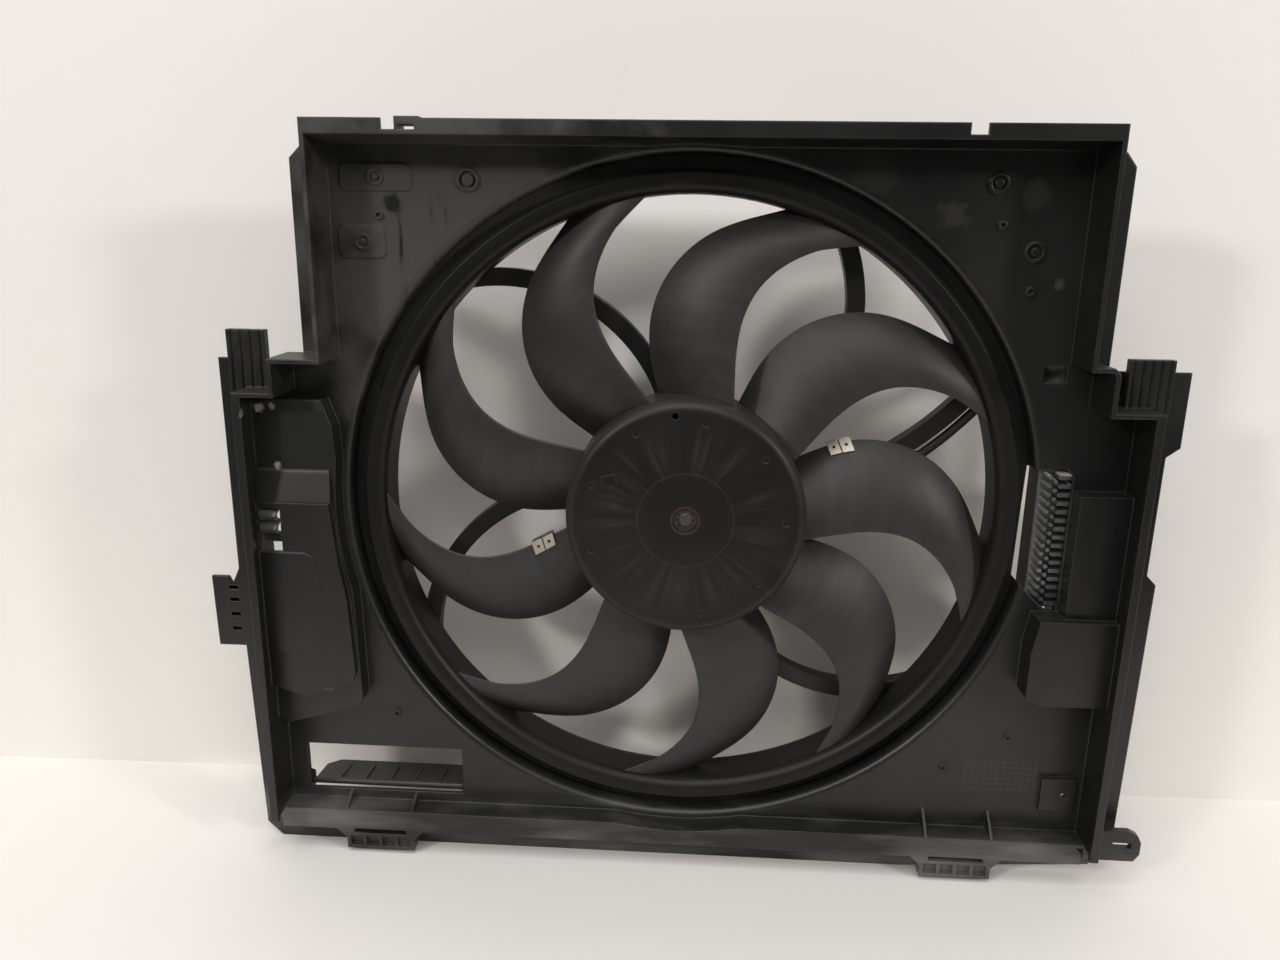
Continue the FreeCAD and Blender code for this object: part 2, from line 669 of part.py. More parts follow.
def make_fixings(body):
    """Tongues, ear, pad, bosses, flap cheeks and posts by which the shroud and its parts are held."""
    ridge_back = size.tongue_front + size.groove_depth
    tongue_rear = size.tongue_front + size.tongue_wall
    tongues = []
    ridges = []
    for left, right, low, high, count in ((-327.0, -299.0, 78.0, 128.0, 4), (296.0, 326.0, 80.0, 120.0, 5)):
        tongues.append(box_corners(left, right, low, high))
        step = (right - left) / count
        edges = [left] + [left + step * (number + 0.5) for number in range(count)] + [right]
        for number in range(count + 1):
            ridge_left = edges[number] + (1.1 if number else 0)
            ridge_right = edges[number + 1] - (1.1 if number < count else 0)
            ridges.append(box_corners(ridge_left, ridge_right, low, high))
    front_pad(body, "tongues", ridge_back, tongue_rear, polygons_drawer(tongues))
    front_pad(body, "tongue_ridges", size.tongue_front, ridge_back, polygons_drawer(ridges))
    roots = [box_corners(left, right, 78, size.shoulder_left - 20) for left, right in ((-327, -299), (296, 326))]
    front_pad(body, "tongue_roots", tongue_rear, plate_rear, polygons_drawer(roots))
    # Slotted ear at the lower right corner.
    ear_left = size.lower_right - 3
    ear = [(ear_left, -238), (344, -238), (350, -241), (353, -247), (353, -257), (349, -263), (ear_left, -263)]
    ear_slot = box_corners(332, 346, -250 - size.ear_slot, -250 + size.ear_slot)
    front_pad(body, "slotted_ear", size.rail_front, size.rail_front + 6, polygons_drawer([ear, ear_slot]))
    front_pad(body, "ear_root", size.rail_front + 6, size.plate_front,
              polygon_drawer(box_corners(ear_left, 330, -262, -240)))
    # Cheeks behind the window hold the flap's trunnions.
    hinge_depth, hinge_height = flap_hinge()
    for side, left in (("left", -(size.window_left + size.cheek_wall)), ("right", -size.window_right)):
        side_pad(body, side + "_cheek", left, left + size.cheek_wall, [
            (size.plate_front, hinge_height - 6), (hinge_depth + 5, hinge_height - 6),
            (hinge_depth + 5, hinge_height + 6), (plate_rear, hinge_height + 12),
            (size.plate_front, hinge_height + 12)])
    level_pocket(body, "trunnion_bores", "YZ_Plane", -(size.window_left + size.cheek_wall),
                 size.window_left - size.window_right + size.cheek_wall * 2,
                 [(hinge_depth, hinge_height, size.trunnion_radius + size.trunnion_gap)])
    # Two low pads frame the upper left bosses.
    raised = []
    for left, right, low, high in ((-243, -193, 223, 241), (-246, -213, 178, 200)):
        raised.append([(left, low + 3), (left + 3, low), (right - 3, low), (right, low + 3),
                       (right, high - 3), (right - 3, high), (left + 3, high), (left, high - 3)])
    front_pad(body, "boss_pads", size.plate_front - size.panel_rise, size.plate_front, polygons_drawer(raised))
    # Round bosses show as rings, with a pin in the larger ones and a pit in the small ones.
    bosses = [(-218, 232, 5.5), (-229, 189, 5.5), (-154, 231, 7.5), (201, 233, 6.5), (229, 189, 6.5)]
    rings = []
    for across, height, radius in bosses:
        rings += [(across, height, radius), (across, height, radius - 1.6), (across, height, radius - 3.6)]
    for across, height in ((-217, 207), (206, 206), (229, 163), (-223, -173), (204, -200), (250, -172)):
        rings += [(across, height, 2.8), (across, height, 1.5)]
    front_pad(body, "bosses", size.plate_front - 2, size.plate_front, circles_drawer(rings))
    # Posts behind the plate carry the controller, and one carries the cable.
    posts = controller_posts()
    rings = [(across, height, size.post_radius) for across, height in posts]
    rings += [(across, height, size.tap_radius) for across, height in posts]
    front_pad(body, "controller_posts", size.plate_front, size.sink_front, circles_drawer(rings))
    across, height = cable_post()
    front_pad(body, "cable_post", size.plate_front,
              size.cable_level - size.cable_radius - size.tie_wall - size.tie_gap - 0.15,
              circles_drawer([(across, height, 4)]))
    # Recessed pad with its screw hole.
    front_pad(body, "hole_pad", plate_rear - 7, size.plate_front, polygon_drawer(box_corners(
        279, 305, -232, -204)))

    def draw_openings(sketch):
        draw_circle(sketch, 296.5, -219, size.pad_hole)
        draw_polygon(sketch, box_corners(245, 260, 101, 112.5))

    front_pocket(body, "pad_hole_and_window", plate_rear - 7, plate_rear, draw_openings)


def flap_hinge():
    """Depth and height of the flap's hinge line."""
    return plate_rear + size.trunnion_radius + 1, size.trunnion_radius + 1 - size.window_foot


def controller_posts():
    return [(size.sink_right - 8, size.sink_top - 8), (size.sink_right - 8, 8 - size.sink_foot),
            (size.sink_left + 24, size.sink_top - 8), (size.sink_left + 24, 8 - size.sink_foot)]


# The cable's way, seen from the front: from the motor along the right arm, out through the barrel's
# notch and down into the controller.
CABLE_ROUTE = [(54, -8), (104, -4), (150, 17), (195, 53), (230, 92), (258, 118), (292, 117), (315, 93),
               (315, 59), (313.5, 35)]
GROMMET_START = 53.5
GROMMET_END = 65


def cable_exit_angle():
    """Angle at which the cable's way crosses the middle of the throat's wall."""
    (x0, z0), (x1, z1) = CABLE_ROUTE[3], CABLE_ROUTE[4]
    crossing = float(size.throat_bore + size.barrel_wall / 2)
    start = math.hypot(x0, z0)
    share = (crossing - start) / (math.hypot(x1, z1) - start)
    return math.degrees(math.atan2(z0 + (z1 - z0) * share, x0 + (x1 - x0) * share))


def cable_post():
    return 275, 117.5


make_shroud()


# Motor carrier: ring round the motor and five curved arms that end on the barrel
ARM_FOOT_ANGLES = (71, 143, 216, 326)
CABLE_ARM_ANGLE = 26


def arm_face(width, foot_angle, middle_turn, inner_turn):
    """A curved strip of one width about the circle through three points of the arm's middle line."""
    inner_radius = float(size.motor_radius + size.carrier_gap + size.carrier_wall / 2)
    middle_radius = (inner_radius + float(size.barrel_bore)) / 2
    ends = (on_circle(size.barrel_bore, foot_angle), on_circle(middle_radius, foot_angle - middle_turn),
            on_circle(inner_radius, foot_angle - inner_turn))
    middle_line = Part.Arc(*ends).toShape().Curve
    centre = middle_line.Center
    radius = middle_line.Radius
    start = ends[0] + (ends[0] - ends[1]).normalize() * 8
    stop = ends[2]

    def side(offset):
        spots = []
        for spot in (start, ends[1], stop):
            spots.append(centre + (spot - centre).normalize() * (radius + offset))
        return spots

    outer = side(width / 2)
    inner = side(-width / 2)
    wire = Part.Wire([Part.Arc(*outer).toShape(), Part.LineSegment(outer[2], inner[2]).toShape(),
                      Part.Arc(*reversed(inner)).toShape(), Part.LineSegment(inner[0], outer[0]).toShape()])
    return Part.Face(wire)


def make_carrier():
    front = float(size.carrier_front)
    rear = float(size.barrel_end)
    ring_bore = size.motor_radius + size.carrier_gap
    ring_outer = ring_bore + size.carrier_wall
    reach = disc(size.throat_bore, front - 1, rear + 1).cut(disc(ring_outer - 1, front - 1, rear + 1))
    width = float(size.arm_width)
    wall = float(size.arm_wall)
    solid = disc(ring_outer, front, rear)
    turns = [(angle, 28, 41) for angle in ARM_FOOT_ANGLES] + [(CABLE_ARM_ANGLE, 12, 20)]
    for foot_angle, middle_turn, inner_turn in turns:
        strip = arm_face(width, foot_angle, middle_turn, inner_turn)
        strip.translate(FreeCAD.Vector(0, front, 0))
        arm = strip.extrude(FreeCAD.Vector(0, rear - front, 0))
        channel = arm_face(width - 2 * wall, foot_angle, middle_turn, inner_turn)
        channel.translate(FreeCAD.Vector(0, front + wall, 0))
        arm = arm.cut(channel.extrude(FreeCAD.Vector(0, rear - front, 0)))
        solid = solid.fuse(arm.common(reach))
    for number in range(int(float(size.ear_count))):
        spot = on_circle(size.ear_reach, 90 + 360 * number / float(size.ear_count), front)
        lug = Part.makeCylinder(float(size.ear_radius), rear - front, spot, FreeCAD.Vector(0, 1, 0))
        web = Part.makeBox(2 * float(size.ear_radius), rear - front, float(size.ear_reach - ring_bore),
                           FreeCAD.Vector(-float(size.ear_radius), front, float(ring_bore)))
        web.rotate(FreeCAD.Vector(0, 0, 0), FreeCAD.Vector(0, 1, 0), -360 * number / float(size.ear_count))
        solid = solid.fuse(lug).fuse(web)
    solid = solid.cut(disc(ring_bore, front - 1, rear + 1))
    for number in range(int(float(size.ear_count))):
        spot = on_circle(size.ear_reach, 90 + 360 * number / float(size.ear_count), front - 1)
        hole = Part.makeCylinder(float(size.screw_radius + size.screw_gap), rear - front + 2, spot,
                                 FreeCAD.Vector(0, 1, 0))
        solid = solid.cut(hole)
    lead_hole = Part.makeCylinder(float(size.cable_radius + size.grommet_wall), GROMMET_END - GROMMET_START,
                                  FreeCAD.Vector(GROMMET_START, float(size.cable_level), CABLE_ROUTE[0][1]),
                                  FreeCAD.Vector(1, 0, 0))
    solid = solid.cut(lead_hole)
    plain_part("motor_carrier", solid.removeSplitter())


make_carrier()


# Fan wheel: hub with its ribs, boss and steel bush
def make_hub():
    body = new_body("fan_hub")
    inner = size.hub_radius - size.hub_wall
    back = size.hub_front + size.hub_wall
    turned(body, "cup", [
        (size.insert_radius, size.hub_front), (size.hub_radius, size.hub_front),
        (size.hub_radius, size.hub_end), (inner, size.hub_end), (inner, back), (size.hub_boss, back),
        (size.hub_boss, size.hub_boss_end), (size.insert_radius, size.hub_boss_end)])
    round_edges(body, "front_round", size.hub_round, ring_edge(size.hub_radius, size.hub_front))
    sketch = new_sketch(body, "rib_outline", "XY_Plane", -0.9)
    draw_polygon(sketch, [
        (size.hub_boss - 1, back - 1), (inner + 1, back + size.hub_round), (inner + 1, size.hub_end - 22),
        (size.motor_radius + 6, size.motor_front - size.shield_wall - 8), (size.hub_boss - 1, back + 14)])
    rib = extrude(body, "rib", sketch, 1.8, False)
    round_pattern(body, "ribs", rib, size.hub_rib_count)
    front_pad(body, "small_plate", size.hub_front - 0.4, size.hub_front, polygon_drawer(
        [(-60.5, 30.5), (-51, 33), (-49, 25), (-58.5, 22.5)]))
    # Nine shallow round marks and one small balancing hole show on the face.
    mark = front_pocket(body, "pin_mark", size.hub_front, size.hub_front + 0.6,
                        circles_drawer([(71.3, 0, 2.2)]))
    round_pattern(body, "pin_marks", mark, size.blade_count)
    front_pocket(body, "balance_hole", size.hub_front, back, circles_drawer([(-8.6, 75.4, 2.4)]))

    bush = new_body("hub_insert")
    turned(bush, "bush", [
        (size.shaft_radius, size.hub_front + size.retainer_seat),
        (size.insert_radius, size.hub_front + size.retainer_seat),
        (size.insert_radius, size.hub_boss_end), (size.shaft_radius, size.hub_boss_end)])


def make_ring():
    body = new_body("fan_ring")
    outer = size.ring_bore + size.ring_wall
    lip_back = size.ring_front + size.ring_wall
    bevel = size.lip_round - size.ring_wall
    turned(body, "band", [
        (size.ring_bore, size.ring_front), (size.ring_lip - 2.5, size.ring_front),
        (size.ring_lip, size.ring_front + 2.5), (size.ring_lip, size.ring_front + size.lip_return),
        (size.ring_lip - size.ring_wall, size.ring_front + size.lip_return),
        (size.ring_lip - size.ring_wall, lip_back + 1.5), (size.ring_lip - size.ring_wall - 1.5, lip_back),
        (outer + bevel, lip_back), (outer + bevel * 0.3, lip_back + bevel * 0.3), (outer, lip_back + bevel),
        (outer, size.ring_end), (size.ring_bore, size.ring_end)])
    round_edges(body, "inlet", size.lip_round, ring_edge(size.ring_bore, size.ring_front))


def leading_angle(share):
    """Leading edge's angle in degrees at a share of the way from hub to ring."""
    return 28.2 + 35.2 * share - 40.4 * share ** 2 - 4.6 * share ** 3


def trailing_angle(share):
    """Trailing edge's angle in degrees at a share of the way from hub to ring."""
    return 64.9 + 2.7 * share - 21.1 * share ** 2 - 12.7 * share ** 3


def blade_point(radius, chord_share, side):
    """A point of the blade's skin on a cylinder about the axis.

    Along the chord the angle and the depth run evenly from leading to trailing edge, camber bows the
    blade forwards, and the half thickness grows quickly behind the leading edge and thins to the rear.
    """
    share = (radius - float(size.hub_radius)) / (float(size.ring_bore) - float(size.hub_radius))
    front = float(size.blade_root_front) * (1 - share) + float(size.blade_tip_front) * share
    rear = float(size.blade_root_rear) * (1 - share) + float(size.blade_tip_rear) * share
    thick = float(size.blade_root_wall) * (1 - share) + float(size.blade_tip_wall) * share
    lead = leading_angle(share)
    trail = trailing_angle(share)
    angle = lead + (trail - lead) * chord_share
    depth = front + (rear - front) * chord_share
    depth -= float(size.blade_camber) * 4 * chord_share * (1 - chord_share)
    form = 1.9 * math.sqrt(chord_share) * (1 - chord_share) + 0.4 * chord_share
    arc = math.radians(trail - lead) * radius
    slope = math.atan2(rear - front, arc)
    half = side * thick / 2 * form
    angle += math.degrees(half * math.sin(slope) / radius)
    depth -= half * math.cos(slope)
    return on_circle(radius, angle, depth)


def blade_skin(side, radii, shares):
    """One face of the blade, smooth through a net of points."""
    skin = Part.BSplineSurface()
    skin.interpolate([[blade_point(radius, share, side) for share in shares] for radius in radii])
    return skin


def border(skin, name, value):
    """One border line of a skin."""
    curve = skin.uIso(value) if name == "across" else skin.vIso(value)
    return curve.toShape()


def strip_between(first, second):
    """The straight-ruled strip between two curves, whichever way round is the narrower."""
    other = second.Curve.copy()
    other.reverse()
    strips = [Part.makeRuledSurface(first, second), Part.makeRuledSurface(first, other.toShape())]
    return min(strips, key=lambda face: face.Area)


def make_blades():
    """Front and back skin, joined by a wedge at the leading edge and a narrow strip at the tail."""
    start = float(size.hub_radius) - 3
    stop = float(size.ring_bore) + 2.4
    steps = 5
    radii = [start + (stop - start) * step / steps for step in range(steps + 1)]
    shares = (0.03, 0.25, 0.5, 0.75, 1.0)
    front = blade_skin(1, radii, shares)
    back = blade_skin(-1, radii, shares)
    nose = Part.BSplineCurve()
    nose.interpolate([blade_point(radius, 0.0, 0) for radius in radii])
    low_u, high_u, low_v, high_v = front.bounds()
    faces = [front.toShape(), back.toShape()]
    nose_edge = nose.toShape()
    faces.append(strip_between(border(front, "along", low_v), nose_edge))
    faces.append(strip_between(border(back, "along", low_v), nose_edge))
    faces.append(strip_between(border(front, "along", high_v), border(back, "along", high_v)))
    for value in (low_u, high_u):
        root_front = border(front, "across", value)
        root_back = border(back, "across", value)
        faces.append(strip_between(root_front, root_back))
        tip = blade_point(radii[0] if value == low_u else radii[-1], 0.0, 0)
        front_end = root_front.Curve.value(root_front.FirstParameter)
        back_end = root_back.Curve.value(root_back.FirstParameter)
        faces.append(Part.Face(Part.makePolygon([tip, front_end, back_end, tip])))
    shell = Part.makeShell(faces)
    shell.sewShape()
    blank = Part.makeSolid(shell.Shells[0] if shell.ShapeType != "Shell" else shell)
    if blank.Volume < 0:
        blank.reverse()
    span = disc(size.ring_bore, 0, size.barrel_end).cut(disc(size.hub_radius, 0, size.barrel_end))
    blade = blank.common(span)
    blades = []
    for number in range(int(float(size.blade_count))):
        copy = blade.copy()
        copy.rotate(FreeCAD.Vector(0, 0, 0), FreeCAD.Vector(0, 1, 0), -360 * number / float(size.blade_count))
        blades.extend(copy.Solids)
    plain_part("fan_blades", Part.makeCompound(blades))


def clip_leaf(corners, normal, start, stop):
    """One flat leaf of a clip between two heights above the blade's skin."""
    base = [corner + normal * start for corner in corners]
    leaf = Part.Face(Part.makePolygon([base[0], base[1], base[2], base[0]])).extrude(normal * (stop - start))
    second = Part.Face(Part.makePolygon([base[0], base[2], base[3], base[0]])).extrude(normal * (stop - start))
    return leaf.fuse(second)


def balance_clip(radius, width, chord_edge, chord_reach, blade_number):
    """A pair of small steel clips side by side, each folded round a blade's edge and pierced once."""
    solid = None
    for half in (0, 1):
        near_radius = radius + half * (width / 2 + 0.4)
        far_radius = near_radius + width / 2 - 0.4
        corners = []
        for reach, chord in ((near_radius, chord_edge), (near_radius, chord_reach),
                             (far_radius, chord_reach), (far_radius, chord_edge)):
            corners.append((blade_point(reach, chord, 1) + blade_point(reach, chord, -1)) * 0.5)
        along = (corners[1] - corners[0]).normalize()
        corners[0] = corners[0] - along * 2.5
        corners[3] = corners[3] - along * 2.5
        normal = (corners[1] - corners[0]).cross(corners[3] - corners[0]).normalize()
        if normal.y > 0:
            normal = normal * -1
        middle = (corners[0] + corners[1] + corners[2] + corners[3]) * 0.25
        for side in (1, -1):
            leaf = clip_leaf(corners, normal * side, 1.9, 2.6)
            hole = Part.makeCylinder(1.2, 6, middle, normal * side)
            leaf = leaf.cut(hole)
            solid = leaf if solid is None else solid.fuse(leaf)
        # The fold joins the two leaves outside the blade's edge.
        fold = [corners[0] + normal * 2.6, corners[3] + normal * 2.6,
                corners[3] - normal * 2.6, corners[0] - normal * 2.6]
        face = Part.Face(Part.makePolygon([fold[0], fold[1], fold[2], fold[0]])).extrude(along * 0.8)
        other = Part.Face(Part.makePolygon([fold[0], fold[2], fold[3], fold[0]])).extrude(along * 0.8)
        solid = solid.fuse(face).fuse(other)
    turn = -360 * blade_number / float(size.blade_count)
    solid.rotate(FreeCAD.Vector(0, 0, 0), FreeCAD.Vector(0, 1, 0), turn)
    return solid


def make_balance_clips():
    first = balance_clip(99, 17, 0.0, 0.13, 4)
    second = balance_clip(113, 17, 1.0, 0.88, -1)
    plain_part("balance_clips", Part.makeCompound(first.Solids + second.Solids))


make_hub()
make_ring()
make_blades()
make_balance_clips()


# Retainer and shaft
def make_shaft():
    body = new_body("motor_shaft")
    turned(body, "rod", [
        (0, size.shaft_front), (size.shaft_radius - 0.8, size.shaft_front),
        (size.shaft_radius, size.shaft_front + 0.8), (size.shaft_radius, size.shaft_rear - 0.8),
        (size.shaft_radius - 0.8, size.shaft_rear), (0, size.shaft_rear)])

    washer = new_body("shaft_retainer")
    seat = size.hub_front + size.retainer_seat
    turned(washer, "disc", [
        (size.shaft_radius, seat - size.retainer_wall - 0.6),
        (size.shaft_radius + 0.7, seat - size.retainer_wall - 0.6),
        (size.retainer_radius - 1.5, seat - size.retainer_wall), (size.retainer_radius, seat - size.retainer_wall),
        (size.retainer_radius, seat), (size.shaft_radius, seat)])
    gap = front_pocket(washer, "tooth_gap", size.hub_front, seat, polygon_drawer(box_corners(
        size.shaft_radius - 1, size.retainer_radius - 1.4, -0.6, 0.6)))
    round_pattern(washer, "tooth_gaps", gap, 8)


make_shaft()


# Motor
shield_front = size.motor_front - size.shield_wall


def make_motor_case():
    pot = new_body("motor_housing")
    inner = size.motor_radius - size.motor_wall
    boss = size.bearing_radius + size.motor_wall
    floor = size.motor_end - size.motor_wall
    turned(pot, "pot", [
        (inner, size.motor_front), (size.motor_radius, size.motor_front),
        (size.motor_radius, size.motor_end - 3), (size.motor_radius - 3, size.motor_end),
        (boss, size.motor_end), (boss, size.motor_end + 4),
        (0, size.motor_end + 4), (0, size.motor_end + 4 - size.motor_wall),
        (size.bearing_radius, size.motor_end + 4 - size.motor_wall), (size.bearing_radius, floor),
        (inner, floor)])
    ears = front_pad(pot, "ear", size.carrier_front - size.ear_wall, size.carrier_front, polygon_drawer([
        (-size.ear_radius, size.motor_radius - 1.5), (size.ear_radius, size.motor_radius - 1.5),
        (size.ear_radius, size.ear_reach + 2), (size.ear_radius - 4, size.ear_reach + size.ear_radius - 2),
        (4 - size.ear_radius, size.ear_reach + size.ear_radius - 2), (-size.ear_radius, size.ear_reach + 2)]))
    round_pattern(pot, "ears", ears, size.ear_count)
    hole = front_pocket(pot, "ear_hole", size.carrier_front - size.ear_wall, size.carrier_front,
                        circles_drawer([(0, size.ear_reach, size.screw_radius)]))
    round_pattern(pot, "ear_holes", hole, size.ear_count)
    level_pocket(pot, "lead_hole", "YZ_Plane", size.motor_radius - size.motor_wall - 1, size.motor_wall + 2,
                 [(size.cable_level, CABLE_ROUTE[0][1], size.cable_radius + size.grommet_wall)])

    shield = new_body("motor_end_shield")
    turned(shield, "disc", [
        (size.shaft_radius + 2, shield_front), (size.motor_radius, shield_front),
        (size.motor_radius, size.motor_front), (inner, size.motor_front),
        (inner, size.motor_front + size.shield_rim), (inner - 2.5, size.motor_front + size.shield_rim),
        (inner - 2.5, size.motor_front), (boss, size.motor_front),
        (boss, size.motor_front + size.bearing_width), (size.bearing_radius, size.motor_front + size.bearing_width),
        (size.bearing_radius, size.motor_front), (size.shaft_radius + 2, size.motor_front)])
    vent = front_pocket(shield, "vent", shield_front, size.motor_front, polygon_drawer([
        (28, -4), (44, -6), (44, 6), (28, 4)]))
    round_pattern(shield, "vents", vent, 6)

    for label, front in (("front_bearing", size.motor_front),
                         ("rear_bearing", size.motor_end + 4 - size.motor_wall - size.bearing_width)):
        bearing = new_body(label)
        bore = size.shaft_radius + size.running_gap
        groove = size.bearing_width * 0.12
        race = (size.bearing_radius - bore) * 0.28
        turned(bearing, "races", [
            (bore, front), (bore + race, front), (bore + race, front + groove),
            (size.bearing_radius - race, front + groove), (size.bearing_radius - race, front),
            (size.bearing_radius, front), (size.bearing_radius, front + size.bearing_width),
            (size.bearing_radius - race, front + size.bearing_width),
            (size.bearing_radius - race, front + size.bearing_width - groove),
            (bore + race, front + size.bearing_width - groove), (bore + race, front + size.bearing_width),
            (bore, front + size.bearing_width)])


def sector(inner, outer, front, rear, start, stop):
    """A ring piece about the axis between two angles in degrees."""
    solid = disc(outer, front, rear).cut(disc(inner, front, rear))
    reach = float(outer) * 2
    spots = [FreeCAD.Vector(0, 0, 0)]
    spots += [on_circle(reach, start), on_circle(reach, (start + stop) / 2), on_circle(reach, stop)]
    wedge = Part.Face(Part.makePolygon(spots + [spots[0]]))
    wedge.translate(FreeCAD.Vector(0, float(front) - 1, 0))
    return solid.common(wedge.extrude(FreeCAD.Vector(0, float(rear) - float(front) + 2, 0)))


def make_magnets():
    inner = size.motor_radius - size.motor_wall
    half = float(size.magnet_span) / 2
    solids = []
    for middle in (0, 90, 180, 270):
        solids += sector(size.magnet_bore, inner, size.magnet_front, size.magnet_end,
                         middle - half, middle + half).Solids
    plain_part("motor_magnets", Part.makeCompound(solids))


def make_armature():
    core = new_body("armature_core")
    turned(core, "stack", tube(size.shaft_radius, size.armature_radius, size.armature_front, size.armature_end))
    slot = front_pocket(core, "slot", size.armature_front, size.armature_end, polygon_drawer(box_corners(
        size.armature_radius - size.slot_depth - 1.5, size.armature_radius - 1.5,
        -size.slot_width / 2, size.slot_width / 2)))
    round_pattern(core, "slots", slot, size.slot_count)

    heads = []
    inner = size.armature_radius - size.slot_depth - 3
    outer = size.armature_radius - 1.5
    for front, rear in ((size.armature_front - size.winding_depth, size.armature_front),
                        (size.armature_end, size.armature_end + size.winding_depth)):
        coil = disc(outer, front, rear).cut(disc(inner, front, rear))
        free = front if float(rear) == float(size.armature_front) else rear
        rims = [edge for edge in coil.Edges if isinstance(edge.Curve, Part.Circle)
                and abs(edge.Curve.Center.y - float(free)) < 0.01]
        heads += coil.makeChamfer(float(size.winding_depth) * 0.3, rims).Solids
    plain_part("armature_windings", Part.makeCompound(heads))

    drum = new_body("commutator")
    brush_front = size.armature_end + size.winding_depth + 1
    turned(drum, "segments", tube(size.shaft_radius, size.commutator_radius,
                                  size.armature_end, brush_front + size.brush_height + 1))
    cut = front_pocket(drum, "segment_gap", size.armature_end + size.winding_depth, brush_front + size.brush_height + 1,
                       polygon_drawer(box_corners(size.commutator_radius - 1.5, size.commutator_radius + 1,
                                                  -0.35, 0.35)))
    round_pattern(drum, "segment_gaps", cut, size.slot_count)


def make_brush_gear():
    """Four brushes in boxes on a plastic ring, each pressed by a bent strip spring."""
    front = size.armature_end + size.winding_depth + 1
    rear = front + size.brush_height
    start = float(size.commutator_radius + size.brush_gap)
    end = start + float(size.brush_length)
    inner_wall = float(size.motor_radius - size.motor_wall)
    half = float(size.brush_width) / 2
    gap = float(size.brush_gap)
    wall = float(size.holder_wall)
    ring = disc(inner_wall, rear + size.brush_gap, rear + size.brush_gap + size.holder_wall)
    ring = ring.cut(disc(size.commutator_radius + 3, rear, rear + size.holder_wall + 5))
    brushes = []
    springs = []
    depth = float(size.brush_height)
    for number in range(4):
        angle = 45 + 90 * number
        turn = FreeCAD.Rotation(FreeCAD.Vector(0, 1, 0), -angle)
        place = FreeCAD.Placement(FreeCAD.Vector(0, 0, 0), turn)
        brush = Part.makeBox(end - start, depth, 2 * half, FreeCAD.Vector(start, float(front), -half))
        brush.Placement = place
        brushes.append(brush)
        box = Part.makeBox(end - start + 6, depth + gap, 2 * (half + gap + wall),
                           FreeCAD.Vector(start + 4, float(front), -(half + gap + wall)))
        bore = Part.makeBox(end - start + 12, depth + gap + 1, 2 * (half + gap),
                            FreeCAD.Vector(start, float(front) - 1, -(half + gap)))
        box = box.cut(bore)
        box.Placement = place
        ring = ring.fuse(box)
        strip = [FreeCAD.Vector(end + 0.2, float(front) + 0.5, -half + 1),
                 FreeCAD.Vector(end + 0.8, float(front) + 0.5, -half + 1),
                 FreeCAD.Vector(end + 3.4, float(front) + 0.5, 0),
                 FreeCAD.Vector(end + 0.8, float(front) + 0.5, half - 1),
                 FreeCAD.Vector(end + 0.2, float(front) + 0.5, half - 1),
                 FreeCAD.Vector(end + 2.6, float(front) + 0.5, 0)]
        spring = Part.Face(Part.makePolygon(strip + [strip[0]])).extrude(FreeCAD.Vector(0, depth - 0.5, 0))
        spring.Placement = place
        springs.append(spring)
    plain_part("brush_holder", ring.removeSplitter())
    plain_part("carbon_brushes", Part.makeCompound(brushes))
    plain_part("brush_springs", Part.makeCompound(springs))


def make_motor_screws():
    solids = []
    rear = float(size.barrel_end)
    front = float(size.carrier_front - size.ear_wall)
    for number in range(int(float(size.ear_count))):
        spot = on_circle(size.ear_reach, 90 + 360 * number / float(size.ear_count), front)
        along = FreeCAD.Vector(0, 1, 0)
        shank = Part.makeCylinder(float(size.screw_radius), rear - front, spot, along)
        top = spot + along * (rear - front)
        head = Part.makeCylinder(float(size.screw_head), float(size.head_height), top, along)
        socket = Part.makeCylinder(float(size.screw_head) * 0.5, float(size.head_height) * 0.6,
                                   top + along * float(size.head_height) * 0.4, along)
        solids.append(shank.fuse(head).cut(socket))
    plain_part("motor_screws", Part.makeCompound(solids))


make_motor_case()
make_magnets()
make_armature()
make_brush_gear()
make_motor_screws()


# Air flap, open at rest: it lies almost level behind its window
def make_flap():
    """The flap hangs on two trunnions; it is drawn open, turned back from the window's plane."""
    hinge_depth, hinge_height = flap_hinge()
    left = float(size.flap_gap - size.window_left)
    right = float(-size.window_right - size.flap_gap)
    reach = float(size.window_foot - size.window_top - size.trunnion_radius - 1 - size.flap_gap)
    wall = float(size.flap_wall)
    cut = float(size.flap_chamfer)
    outline = [(left, 0), (right, 0), (right, reach), (left + cut, reach), (left, reach - cut)]
    spots = [FreeCAD.Vector(x, y, -wall / 2) for x, y in outline]
    leaf = Part.Face(Part.makePolygon(spots + [spots[0]])).extrude(FreeCAD.Vector(0, 0, wall))
    for number in range(1, 6):
        rib = Part.makeBox(1.6, reach - cut, 1.4,
                           FreeCAD.Vector(left + (right - left) * number / 6 - 0.8, 0, wall / 2))
        leaf = leaf.fuse(rib)
    rod = float(size.trunnion_radius)
    barrel = Part.makeCylinder(rod + 0.6, right - left, FreeCAD.Vector(left, 0, 0), FreeCAD.Vector(1, 0, 0))
    leaf = leaf.fuse(barrel)
    for start in (left - float(size.trunnion_length), right):
        pin = Part.makeCylinder(rod, float(size.trunnion_length), FreeCAD.Vector(start, 0, 0),
                                FreeCAD.Vector(1, 0, 0))
        leaf = leaf.fuse(pin)
    leaf.rotate(FreeCAD.Vector(0, 0, 0), FreeCAD.Vector(1, 0, 0), -float(size.flap_droop))
    leaf.translate(FreeCAD.Vector(0, float(hinge_depth), float(hinge_height)))
    plain_part("air_flap", leaf.removeSplitter())


make_flap()


